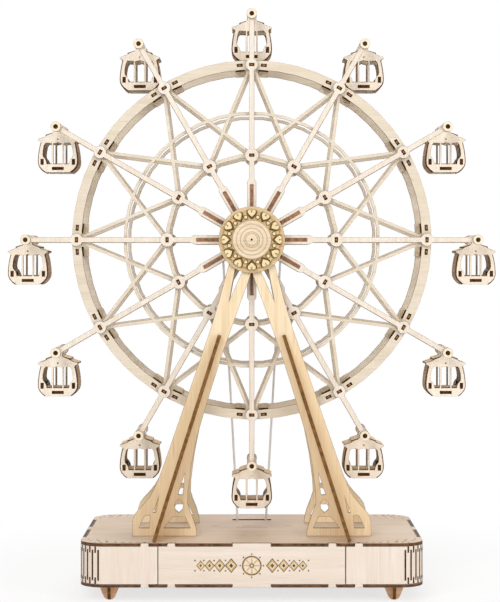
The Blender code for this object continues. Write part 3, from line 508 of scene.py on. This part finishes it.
lean = math.atan2(LEG_RUN, LEG_RISE)
for hand, side in (("left", -1), ("right", 1)):
    name = hand + "_rib_ply"
    across = (math.cos(lean), 0.0, side * math.sin(lean))
    MATERIALS[name] = plywood(name, *GOLD, across, Z_AXIS, RIB_EDGE, seed=6.0 + side)
    for end in ("front", "rear"):
        dress(end + "_" + hand + "_leg_rib", name)

# Leg boards: outlines in millimetres from the middle line and the deck

LEG_MIDDLE = 27.0 * MM
LEG_HEAD = 10.0
AXLE_BORE = 3.3
AXLE_SPOT = (0.15, 165.75)
LEG_OUTER = [
    (11.4, 157.5), (18.0, 132.6), (23.0, 116.0), (36.1, 77.9), (48.9, 41.0), (52.4, 31.5),
    (54.4, 26.8), (57.0, 22.2), (60.0, 18.5), (63.2, 15.1), (65.6, 12.0), (66.7, 8.6),
    (66.8, 4.5), (66.8, 0.05),
]
LEG_INNER = [
    (30.7, 0.05), (30.9, 3.6), (32.4, 9.0), (34.6, 14.5), (35.9, 18.6), (35.6, 25.5),
    (33.7, 40.3), (30.7, 55.5), (23.7, 79.1), (15.7, 104.1), (9.2, 122.3), (5.9, 131.6),
    (2.5, 140.6), (0.15, 147.8),
]
LEG_WINDOWS = [
    [(4.6, 149.6), (9.3, 149.2), (12.7, 131.4)],
    [(37.5, 34.8), (41.2, 23.2), (38.7, 23.2)],
    [
        (40.7, 20.7), (42.1, 19.9), (43.1, 18.2), (42.8, 14.9),
        (40.7, 13.3), (38.7, 15.2), (38.4, 18.2), (39.3, 19.9),
    ],
    [(37.4, 10.9), (44.1, 10.9), (49.1, 4.6), (34.4, 4.6)],
    [(52.2, 21.4), (53.7, 17.0), (55.2, 13.3), (53.7, 13.3)],
    [(56.8, 11.6), (59.8, 11.6), (63.1, 4.6), (57.3, 4.6)],
]


def leg_board(name, side, end):
    """A leg that flares at its foot; it holds half of the axle's bore."""
    bore = arc(AXLE_BORE, -math.pi / 2, math.pi / 2, 10, AXLE_SPOT)
    top = arc(LEG_HEAD, math.pi / 2, math.radians(20), 8, AXLE_SPOT)
    loops = [bore + top + LEG_OUTER + LEG_INNER] + LEG_WINDOWS
    loops = [millimetres(loop if side > 0 else mirrored(loop)) for loop in loops]
    parts = [(upright(loops, PLY, end * LEG_MIDDLE), "leg_ply")]
    piece(name + "_board", parts, "stand", [name], shift(0.0, HUB.y, DECK_TOP))


for face, end in (("front", -1), ("rear", 1)):
    for hand, side in (("left", -1), ("right", 1)):
        leg_board(face + "_" + hand + "_leg", side, end)

# Wheel faces: hub disc, twelve arms with round heads, and the tenons' ends

SPOKE_FRONT = 22.0 * MM
SPOKE_MIDDLE = 21.0 * MM
LATTICE_FRONT = 19.7 * MM
NODE_RADIUS = 98.55 * MM
INNER_RADIUS = 47.6 * MM
HUB_BORE = 5.2 * MM
ROD_BORE = 1.15 * MM
FIN_START = 18.6 * MM
FIN_END = 31.0 * MM
FIN_HALF = 0.9 * MM
FIN_GAP = 0.1 * MM
ARM_NECK = 1.45 * MM
ARM_ROOT = 2.6 * MM
HEADS = ((INNER_RADIUS, 3.9 * MM), (NODE_RADIUS, 3.6 * MM))
HEAD_STEPS = 7
TIP_HEAD = 2.9 * MM
TENON = (3.1 * MM, 1.9 * MM)
RIM_TENON = (3.5 * MM, 1.9 * MM)
TENON_SUNK = 0.6 * MM
TENON_DEPTH = 1.4 * MM
CORE_DEPTH = 1.44 * MM
BAR_TURN = 6.8 * MM / NODE_RADIUS
BAR_WIDTH = 1.7 * MM
BAR_HEIGHT = 5.46 * MM
LUG_RADIUS = 96.45 * MM
# The second part of each lug is a thin dark cap that shows as a dark sliver just inside each rim.
LUGS = ((0.8, (2.7, 1.4, 5.4), "bar_ply"), (0.2, (2.76, 0.36, 5.46), "burnt_end"))


def arm_outline():
    """One arm along +X, from the fin's slot to the round head that carries a gondola."""
    half = [(FIN_START, ARM_ROOT), (FIN_END + 1.5 * MM, ARM_ROOT), (FIN_END + 3.5 * MM, ARM_NECK)]
    for radius, size in HEADS:
        neck = math.asin(ARM_NECK / size)
        half += arc(size, math.pi - neck, neck, HEAD_STEPS, (radius, 0.0))
    neck = math.asin(ARM_NECK / TIP_HEAD)
    half += arc(TIP_HEAD, math.pi - neck, 0.0, HEAD_STEPS, (PIVOT_RADIUS, 0.0))
    lower = [(x, -y) for x, y in half]
    return lower + list(reversed(half[:-1]))


def tenon(size, radius, sign, face, turn):
    """A tenon's end in its slot: burnt at its edges, lighter in the middle."""
    tall, wide = size
    centre = (radius, sign * (face - TENON_SUNK), 0.0)
    end = block((wide, TENON_DEPTH, tall), centre, 0.15 * MM)
    core = block((0.42 * wide, CORE_DEPTH, 0.46 * tall), centre, 0.1 * MM)
    return [(moved(end, turn), "burnt_end"), (moved(core, turn), "tenon_core")]


def wheel_face(end, sign):
    outline = []
    holes = [circle(HUB_BORE, 32)]
    arm = arm_outline()
    fin_middle = ((FIN_END + FIN_START) / 2, 0.0)
    slot = rectangle((FIN_END - FIN_START) / 2 + FIN_GAP, FIN_HALF + FIN_GAP, fin_middle)
    rod_hole = circle(ROD_BORE, 12, (PIVOT_RADIUS, 0.0))
    for index in range(ARMS):
        angle = index * ARM_ANGLE
        outline += turned(arm, angle)
        holes += [turned(slot, angle), turned(rod_hole, angle)]
    parts = [(upright([outline] + holes, PLY, sign * SPOKE_MIDDLE), "spoke_ply")]
    for index in range(ARMS):
        turn = about_y(index * ARM_ANGLE)
        for radius in (INNER_RADIUS, NODE_RADIUS):
            parts += tenon(TENON, radius, sign, SPOKE_FRONT, turn)
    name = end + "_wheel_face"
    piece(name, parts, "wheel", [end + "_spoke_plate"], shift(*HUB))


wheel_face("front", -1)
wheel_face("rear", 1)

BAR_TURNS = [about_y(arm * ARM_ANGLE + side * BAR_TURN) for arm in range(ARMS) for side in (-1, 1)]


def rim_tenons(name, sign):
    """Ends of the cross bars, let into the rim on both sides of each arm."""
    parts = []
    for turn in BAR_TURNS:
        parts += tenon(RIM_TENON, NODE_RADIUS, sign, LATTICE_FRONT, turn)
    piece(name, parts, "wheel", (), shift(*HUB))


rim_tenons("front_rim_tenons", -1)
rim_tenons("rear_rim_tenons", 1)


def cross_bars():
    """The bars between the two rims; thin dark caps on their lugs show just inside the rims."""
    reach = LATTICE_FRONT - PLY
    parts = []
    for turn in BAR_TURNS:
        bar = block((BAR_WIDTH, 2 * reach, BAR_HEIGHT), (NODE_RADIUS, 0.0, 0.0), 0.08 * MM)
        parts.append((moved(bar, turn), "bar_ply"))
        for end in (-1, 1):
            for back, size, material in LUGS:
                centre = (LUG_RADIUS, end * (reach - back * MM), 0.0)
                lug = block([side * MM for side in size], centre, 0.06 * MM)
                parts.append((moved(lug, turn), material))
    return parts


piece("cross_bars", cross_bars(), "wheel", (), shift(*HUB))

# Gondolas: outlines in millimetres from the pivot

CABIN_SIDE = [
    (9.4, -8.4), (9.9, -10.0), (10.4, -12.6), (10.8, -15.6), (11.0, -18.4), (10.9, -20.2),
    (10.3, -21.8), (8.8, -23.6), (6.6, -25.2),
]
CABIN_WALL = CABIN_SIDE[:-1] + [(7.3, -24.68)]
CABIN_TOP = [(-1.1, 2.6), (0.0, 2.8), (1.1, 2.6)]
CABIN_HALF = [
    (2.0, 1.98), (2.7, 0.9), (2.75, -0.6), (2.3, -1.9), (3.0, -2.9), (4.6, -3.5), (6.0, -4.0),
    (7.2, -4.9), (9.0, -5.6), (10.6, -6.0), (11.3, -6.5), (11.3, -7.2), (10.2, -7.5),
] + CABIN_SIDE
SIDE_WINDOW = [
    (3.4, -8.6), (6.9, -8.4), (7.8, -9.8), (8.4, -12.6), (8.6, -15.0), (8.3, -16.4),
    (7.4, -17.3), (6.6, -18.8), (6.3, -20.5), (3.4, -20.5),
]
MIDDLE_WINDOW = [
    (-2.5, -20.5), (2.5, -20.5), (2.5, -8.8), (0.9, -8.5), (0.0, -8.1), (-0.9, -8.5), (-2.5, -8.8),
]
ROOF_BOARDS = (((2.5, -2.9), (7.0, -4.3)), ((6.2, -4.9), (11.1, -6.7)))
ROOF_PLY = 1.0 * MM
WALL_PLY = 0.9
WALL_INSET = 0.35
CABIN_FACE = 10.0 * MM
CABIN_INNER = 9.0 * MM
TENON_SPAN = 2 * (CABIN_FACE + 0.85 * MM)
LATCH_SPOT = (8.9 * MM, -19.2 * MM)
SEAT_HEIGHT = -20.8 * MM
KEEL_HEIGHT = -23.0 * MM
ROD_RADIUS = 1.0 * MM
ROD_HALF = 22.4 * MM
ROD_DISC = [
    (1.0, 22.3), (1.3, 22.3), (2.75, 22.3), (2.9, 22.45), (2.9, 23.45), (2.75, 23.6),
    (1.4, 23.6), (1.3, 23.5),
]
ROD_PIN = [(1.3, 23.5), (1.25, 23.52), (0.0, 23.52)]


def cabin_plate(y):
    """A gondola's front or rear frame: three windows between two bars, and slots for tenons."""
    outline = millimetres(CABIN_TOP[1:] + CABIN_HALF + mirrored(CABIN_HALF) + CABIN_TOP[:1])
    side = millimetres(SIDE_WINDOW)
    loops = [outline, millimetres(MIDDLE_WINDOW), side, mirrored(side)]
    loops += [circle(0.45 * MM, 8, (0.0, -6.4 * MM)), circle(1.2 * MM, 16)]
    x, z = LATCH_SPOT
    loops += [rectangle(0.85 * MM, 1.6 * MM, (sign * x, z)) for sign in (-1, 1)]
    loops.append(rectangle(3.3 * MM, 0.8 * MM, (0.0, KEEL_HEIGHT)))
    return upright(loops, PLY, y, 0.12 * MM)


def strip(path, thickness, depth):
    """A bent strip that follows a path in the XZ plane, its thickness laid inwards."""
    inner = []
    for index, point in enumerate(path):
        before = Vector(path[max(index - 1, 0)])
        after = Vector(path[min(index + 1, len(path) - 1)])
        run = (after - before).normalized()
        inner.append((point[0] + run.y * thickness, point[1] - run.x * thickness))
    return upright([millimetres(path + list(reversed(inner)))], depth, 0.0, 0.05 * MM)


def roof(side, start, end):
    """A roof board between two points of the right half, or its mirror image."""
    first, last = Vector(start), Vector(end)
    run = last - first
    middle = (first + last) / 2
    lid = block((run.length * MM, 2 * CABIN_INNER + PLY, ROOF_PLY), (0.0, 0.0, 0.0))
    turn = about_y(side * math.atan2(run.y, run.x))
    return moved(lid, turn, shift(side * middle.x * MM, 0.0, middle.y * MM))


def cabin_parts():
    parts = [(cabin_plate(-CABIN_FACE), "cabin_ply"), (cabin_plate(CABIN_FACE), "cabin_ply")]
    for side in (-1, 1):
        path = [(side * x - side * WALL_INSET, z) for x, z in CABIN_WALL]
        # The side walls' colour carries painted shade for the dim inside of the cabin.
        parts.append((strip(path, side * -WALL_PLY, 2 * CABIN_INNER), "cabin_wall_painted_shade"))
        for start, end in ROOF_BOARDS:
            parts.append((roof(side, start, end), "cabin_floor_ply"))
        x, z = LATCH_SPOT
        latch = block((1.5 * MM, TENON_SPAN, 3.0 * MM), (side * x, 0.0, z), 0.1 * MM)
        parts.append((latch, "burnt_end"))
    seat = block((15.4 * MM, 2 * CABIN_INNER, 1.4 * MM), (0.0, 0.0, SEAT_HEIGHT))
    keel = block((6.4 * MM, TENON_SPAN, 1.4 * MM), (0.0, 0.0, KEEL_HEIGHT), 0.1 * MM)
    return parts + [(seat, "cabin_floor_ply"), (keel, "burnt_end")]


def rod_parts():
    """A gondola's rod with a disc at each end."""
    parts = []
    for sign in (-1, 1):
        for profile, steps, material in ((ROD_DISC, 28, "rod_wood"), (ROD_PIN, 16, "burnt_end")):
            points = [(radius * MM, sign * along * MM) for radius, along in profile]
            parts.append((turning(points, steps), material))
    shaft = turning([(ROD_RADIUS, -ROD_HALF), (ROD_RADIUS, ROD_HALF)], 16)
    return parts + [(shaft, "rod_wood")]


for index in range(ARMS):
    number = str(index + 1).zfill(2)
    gondola = "gondola_" + number
    x, z = polar(PIVOT_RADIUS, index * ARM_ANGLE)
    spot = shift(x + HUB.x, HUB.y, z + HUB.z)
    piece("cabin_" + number, cabin_parts(), gondola + "_body", [gondola], spot)
    piece("rod_" + number, rod_parts(), "wheel", ["gondola_rod_" + number], spot)

# Hub ornament: petals with hearts, and the cap; lengths along Y in millimetres from the hub

HEART = [
    (0.0, -3.3), (1.2, -2.1), (2.2, -0.7), (2.6, 0.6), (2.3, 1.7), (1.4, 2.2), (0.5, 1.8),
    (0.0, 1.1),
]
# The first layer of each heart and bead is a larger dark one: its rim is partly the laser's char
# on the cut edges and partly painted shade for the gap round the raised piece.
HEART_LAYERS = ((1.0, 14.6, -31.6, 0.6, "char_and_painted_shade"), (0.74, 15.1, -31.95, 0.9, "heart_ply"))
BEAD_LAYERS = ((1.3, -31.55, 0.5, "char_and_painted_shade"), (0.95, -31.8, 0.6, "heart_ply"))
LOBE_STEPS = 8
CAP_FACE = -33.6
GROOVES = (3.4, 4.3, 6.3, 8.6)
GROOVE_WIDTH = 0.4
GROOVE_DEPTH = 0.13


def heart(scale, radius):
    """A heart on the arm's line, its tip towards the axle."""
    half = [(1.2 * scale * x, scale * y) for x, y in HEART]
    outline = half + [(-x, y) for x, y in reversed(half[1:-1])]
    return [((radius + y) * MM, x * MM) for x, y in outline][::-1]


def scalloped_edge():
    """Twelve shallow lobes, one at each arm."""
    points = []
    for step in range(ARMS * LOBE_STEPS):
        angle = 2 * math.pi * step / (ARMS * LOBE_STEPS)
        lobe = abs(math.cos(angle * ARMS / 2))
        points.append(polar((15.7 + 1.5 * lobe) * MM, angle))
    return points


def petals():
    ring = [scalloped_edge(), circle(10.4 * MM, 48)]
    parts = [(upright(ring, 0.9 * MM, -31.05 * MM, 0.1 * MM), "petal_ply")]
    for index in range(ARMS):
        turn = about_y(index * ARM_ANGLE)
        # The dark layer under each heart is partly char, partly painted shade.
        for scale, radius, y, thickness, material in HEART_LAYERS:
            layer = upright([heart(scale, radius)], thickness * MM, y * MM, 0.08 * MM)
            parts.append((moved(layer, turn), material))
        dot = upright([circle(0.42 * MM, 10, (15.5 * MM, 0.0))], 0.3 * MM, -32.35 * MM, 0.05 * MM)
        parts.append((moved(dot, turn), "engraving"))
        between = about_y((index + 0.5) * ARM_ANGLE)
        for radius, y, thickness, material in BEAD_LAYERS:
            loop = circle(radius * MM, 14, (12.9 * MM, 0.0))
            bead = upright([loop], thickness * MM, y * MM, 0.08 * MM)
            parts.append((moved(bead, between), material))
    return parts


def cap_parts():
    """The cap disc with engraved rings, and the axle's end in its middle."""
    profile = [(0.55, CAP_FACE + 0.9), (0.6, CAP_FACE)]
    for radius in GROOVES:
        profile += [
            (radius - GROOVE_WIDTH / 2, CAP_FACE),
            (radius - GROOVE_WIDTH / 4, CAP_FACE + GROOVE_DEPTH),
            (radius + GROOVE_WIDTH / 4, CAP_FACE + GROOVE_DEPTH),
            (radius + GROOVE_WIDTH / 2, CAP_FACE),
        ]
    profile += [(10.6, CAP_FACE), (10.8, CAP_FACE + 0.2), (10.8, -32.7), (10.2, -32.7)]
    profile += [(10.2, -30.7), (0.0, -30.7)]
    pin = [(0.56, CAP_FACE + 0.85), (0.0, CAP_FACE + 0.85)]
    return [
        (turning(millimetres(profile), 64), "cap_ply"),
        (turning(millimetres(pin), 16), "burnt_end"),
    ]


piece("petal_ornament", petals(), "stand", ["petal_ring"], shift(*HUB))
piece("cap_disc", cap_parts(), "stand", ["hub_cap"], shift(*HUB))

# Base: end panels and feet

BASE_MIDDLE = -9.0 * MM
HALF_WIDTH = 94.4 * MM
HALF_DEPTH = 59.0 * MM
CORNER = 14.0 * MM
PANEL_LOW = 9.8 * MM
PANEL_HIGH = 30.4 * MM
PANEL_MIDDLE = (PANEL_HIGH + PANEL_LOW) / 2
SEAM = 51.2 * MM
SEAM_GAP = 0.2 * MM
BOARD_LOW = 8.0 * MM
TAB_SUNK = PLY - 0.04 * MM
END_TAB = 29.6 * MM
END_TAB_Y = 20.6 * MM
SIDE_TAB = 4.2 * MM
SIDE_TAB_X = 58.5 * MM
CUTS = 11
FIRST_CUT = 14.2
CUT_STEP = 7.1
LONG_CUT = [(11.7, 28.5)]
SHORT_CUTS = [(9.9, 13.4), (26.8, 30.3)]
FOOT_HALF = [(5.6, 7.7), (4.7, 5.4), (4.0, 3.6), (3.2, 1.8), (2.5, 0.8), (1.5, 0.0)]
FOOT_X = 78.3 * MM
FOOT_Y = 49.0 * MM


def half_loop(half_x, half_y, corner):
    """The right half of a rounded rectangle, from front to rear."""
    front = arc(corner, -math.pi / 2, 0.0, 20, (half_x - corner, corner - half_y))
    rear = arc(corner, 0.0, math.pi / 2, 20, (half_x - corner, half_y - corner))
    return front + rear


def hinge_cuts():
    """Staggered cuts in the right end's corners, long in the middle and short at the edges."""
    cuts = []
    for end in (-1, 1):
        centre = shift(HALF_WIDTH - CORNER, end * (HALF_DEPTH - CORNER), 0.0)
        for step in range(CUTS):
            angle = math.radians(FIRST_CUT + CUT_STEP * step)
            turn = about_z(end * (math.pi / 2 - angle))
            for bottom, top in SHORT_CUTS if step % 2 else LONG_CUT:
                size = (0.3 * MM, 1.0 * MM, (top - bottom) * MM)
                place = (CORNER - 0.1 * MM, 0.0, (top + bottom) / 2 * MM)
                cuts.append((moved(block(size, place, 0.05 * MM), turn, centre), "burnt_end"))
    return cuts


def end_wall(hand, turn):
    """An end panel bent round two corners, with its tabs in the deck and the bottom board."""
    outer = half_loop(HALF_WIDTH, HALF_DEPTH, CORNER)
    inner = half_loop(HALF_WIDTH - PLY, HALF_DEPTH - PLY, CORNER - PLY)
    seam = SEAM + SEAM_GAP
    outline = [(seam, -HALF_DEPTH)] + outer + [(seam, HALF_DEPTH), (seam, HALF_DEPTH - PLY)]
    outline += list(reversed(inner)) + [(seam, PLY - HALF_DEPTH)]
    wall = board([outline], PANEL_HIGH - PANEL_LOW, 0.1 * MM)
    parts = [(moved(wall, shift(0.0, 0.0, PANEL_MIDDLE)), "end_ply")]
    for bottom, top in ((BOARD_LOW, PANEL_LOW + PLY), (PANEL_HIGH - PLY, DECK_TOP)):
        height = top - bottom
        middle = (top + bottom) / 2
        for y in (-END_TAB_Y, END_TAB_Y):
            tab = block((TAB_SUNK, END_TAB, height), (HALF_WIDTH - PLY / 2, y, middle))
            parts.append((tab, "end_ply"))
        for end in (-1, 1):
            centre = (SIDE_TAB_X, end * (HALF_DEPTH - PLY / 2), middle)
            parts.append((block((SIDE_TAB, TAB_SUNK, height), centre), "end_ply"))
    parts += hinge_cuts()
    place = shift(0.0, BASE_MIDDLE, 0.0) @ about_z(turn)
    piece(hand + "_wall", parts, "stand", [hand + "_end_panel"], place)


def foot_block(name, x, y):
    """Two crossed boards under the base."""
    outline = millimetres(FOOT_HALF + mirrored(FOOT_HALF))
    wide = upright([outline], PLY, 0.0)
    cross = moved(upright([outline], PLY, 0.0), about_z(math.radians(90)))
    parts = [(wide, "foot_ply"), (cross, "foot_cross_ply")]
    piece(name + "_block", parts, "stand", [name], shift(x, y, 0.0))


end_wall("left", math.pi)
end_wall("right", 0.0)
for end, y in (("front", -FOOT_Y), ("rear", FOOT_Y)):
    for hand, x in (("left", -FOOT_X), ("right", FOOT_X)):
        foot_block("foot_" + end + "_" + hand, x, y + BASE_MIDDLE)

# Engraving on the deck and the front panel

DECK_DOTS = [(89.2 - 3.3 * step, 55.2, 0.85) for step in range(1, 4)]
DECK_DOTS += [(74.5 - 4.0 * step, 56.0, 0.8) for step in range(5)]
DECK_DOTS += [
    (84.2, 50.4, 1.1), (79.6, 52.0, 0.95), (88.6, 48.6, 0.7), (90.2, 44.6, 0.6),
    (85.4, 44.8, 0.7), (80.4, 46.4, 0.6), (90.6, 40.2, 0.55), (75.0, 50.6, 0.6),
]
DECK_LINES = ((0.0, 8.0, 5.5), (0.0, 3.0, 9.0), (-21.0, 9.0, 2.2), (21.0, 9.0, 2.2))
DECK_MARK = DECK_TOP - 0.045 * MM
FRONT_MARK = BASE_MIDDLE - HALF_DEPTH + 0.065 * MM
ORNAMENT_HEIGHT = 20.0 * MM
SMALL_SPOKES = 8
LOZENGES = 4
LOZENGE_LAYERS = ((1.0, 0.8, "char_and_painted_shade"), (0.8, 0.5, "gilt"), (0.34, 0.0, "char_and_painted_shade"))


def deck_mark(loop, x, y):
    mark = board([loop], 0.12 * MM, 0.03 * MM)
    return moved(mark, shift(x * MM, y * MM + BASE_MIDDLE, DECK_MARK))


def deck_marks():
    """Small engraved dots at the deck's corners and lines under the belt."""
    parts = []
    for side_x in (-1, 1):
        for side_y in (-1, 1):
            for x, y, radius in DECK_DOTS:
                dot = deck_mark(circle(radius * MM, 12), side_x * x, side_y * y)
                parts.append((dot, "char_and_painted_shade"))
    for x, y, half in DECK_LINES:
        parts.append((deck_mark(rectangle(half * MM, 0.45 * MM), x, y), "engraving"))
    return parts


def diamond(size):
    return [(0.85 * size, 0.0), (0.0, size), (-0.85 * size, 0.0), (0.0, -size)]


def front_ornament():
    """A row of lozenges and dots on either side of a small wheel, engraved on the front panel."""
    parts = []

    def engrave(loops, x, z, material):
        mark = upright(loops, 0.16 * MM, 0.0, 0.04 * MM)
        parts.append((moved(mark, shift(x, FRONT_MARK, z)), material))

    def engrave_wheel(loops, material):
        engrave(loops, 0.0, ORNAMENT_HEIGHT, material)

    engrave_wheel([circle(5.4 * MM, 48), circle(4.7 * MM, 48)], "char_and_painted_shade")
    engrave_wheel([circle(4.7 * MM, 48), circle(4.3 * MM, 48)], "gilt")
    engrave_wheel([circle(1.3 * MM, 20), circle(0.6 * MM, 12)], "char_and_painted_shade")
    for spoke in range(SMALL_SPOKES):
        turn = spoke * 2 * math.pi / SMALL_SPOKES
        bar = rectangle(1.5 * MM, 0.42 * MM, (2.8 * MM, 0.0))
        engrave_wheel([turned(bar, turn)], "gilt")
        engrave_wheel([turned(circle(0.5 * MM, 8, (6.3 * MM, 0.0)), turn)], "char_and_painted_shade")
    for side in (-1, 1):
        for step in range(LOZENGES):
            size = (4.1 - 0.4 * step) * MM
            x = side * (11.2 + (6.6 - 0.35 * step) * step) * MM
            for outer, inner, material in LOZENGE_LAYERS:
                loops = [diamond(outer * size)] + ([diamond(inner * size)] if inner else [])
                engrave(loops, x, ORNAMENT_HEIGHT, material)
            for up in (-1, 1):
                dot_x = x + side * 3.1 * MM
                dot_z = ORNAMENT_HEIGHT + up * 2.8 * MM
                engrave([circle(0.5 * MM, 8)], dot_x, dot_z, "char_and_painted_shade")
        seam = rectangle(0.3 * MM, (PANEL_HIGH - PANEL_LOW) / 2)
        engrave([seam], side * SEAM, PANEL_MIDDLE, "burnt_end")
    return parts


piece("deck_dots", deck_marks(), "stand")
piece("front_ornament", front_ornament(), "stand")

# Floor, lights and camera

FLOOR_TONES = ((0.93, 0.93, 0.93, 1.0), (0.96, 0.96, 0.955, 1.0))
FLOOR_SIZE = 4.0
AMBIENT = 0.42
LIGHTS = (
    ("key", (-0.7, -1.5, 1.2), (0.0, 0.0, 0.17), 0.9, 16.2),
    ("fill", (1.1, -1.2, 0.6), (0.0, 0.0, 0.17), 1.0, 9.6),
    ("back", (0.2, 1.4, 1.3), (0.0, 0.0, 0.12), 1.2, 14.0),
)
CAMERA_SPOT = (0.0, -1.1229, 0.189)
CAMERA_LENS = 139.25
CAMERA_SHIFT = (-0.0035, -0.0904)


def seen_directly(tree):
    """1 for what the camera sees straight, in a gloss or through something clear, otherwise 0."""
    path = tree.nodes.new("ShaderNodeLightPath")
    straight, gloss = path.outputs["Is Camera Ray"], path.outputs["Is Glossy Ray"]
    seen = calculate(tree, "MAXIMUM", straight, gloss)
    return calculate(tree, "MAXIMUM", seen, path.outputs["Is Transmission Ray"])


def stage_floor():
    """A pale sweep, kept white to the camera away from the toy's shadow."""
    material, tree, shader = new_tree("floor")
    position = own_position(tree)
    shade = blend_colour(tree, noise(tree, position, 60.0, 2.0), *FLOOR_TONES)
    tree.links.new(shade, shader.inputs["Base Color"])
    shader.inputs["Roughness"].default_value = 0.9
    shader.inputs["Specular IOR Level"].default_value = 0.1
    white = add(tree, "Emission", {"Color": WHITE, "Strength": 1.0})
    distance = add(tree, "VectorMath", {0: position}, 1, operation="LENGTH")
    far = stretch(tree, distance, 0.12, 0.3, 0.72, 1.0)
    share = calculate(tree, "MULTIPLY", far, seen_directly(tree))
    mixed = add(tree, "MixShader", {0: share, 1: shader.outputs[0], 2: white})
    tree.links.new(mixed, tree.nodes["Material Output"].inputs["Surface"])
    work = bmesh.new()
    bmesh.ops.create_grid(work, x_segments=2, y_segments=2, size=FLOOR_SIZE)
    mesh = mesh_of(work, "floor")
    mesh.materials.append(material)
    floor = put("floor", mesh)


def light_world():
    """Even light from all round, with a white surround for the camera."""
    world = bpy.data.worlds.new("studio")
    bpy.context.scene.world = world
    world.use_nodes = True
    tree = world.node_tree
    background = tree.nodes["Background"]
    background.inputs["Color"].default_value = WHITE
    inputs = {0: seen_directly(tree), 1: 0.0, 2: 1.0, 3: AMBIENT, 4: 1.0}
    tree.links.new(add(tree, "MapRange", inputs), background.inputs["Strength"])


def soft_light(name, spot, target, size, energy):
    light = bpy.data.lights.new(name, "AREA")
    light.shape = "SQUARE"
    light.size = size
    light.energy = energy
    lamp = put(name, light)
    lamp.location = spot
    lamp.rotation_mode = "QUATERNION"
    lamp.rotation_quaternion = (Vector(target) - Vector(spot)).to_track_quat("-Z", "Y")


def aim_camera():
    """A long lens, level with the wheel's hub."""
    camera = bpy.data.cameras.new("camera")
    camera.sensor_fit = "HORIZONTAL"
    camera.sensor_width = 36.0
    camera.lens = CAMERA_LENS
    camera.shift_x, camera.shift_y = CAMERA_SHIFT
    camera.clip_start = 0.01
    camera.clip_end = 50.0
    obj = put("camera", camera)
    obj.location = CAMERA_SPOT
    obj.rotation_euler = (math.radians(90), 0.0, 0.0)
    bpy.context.scene.camera = obj


stage_floor()
light_world()
for light in LIGHTS:
    soft_light(*light)
aim_camera()
bpy.context.scene.view_settings.view_transform = "Standard"
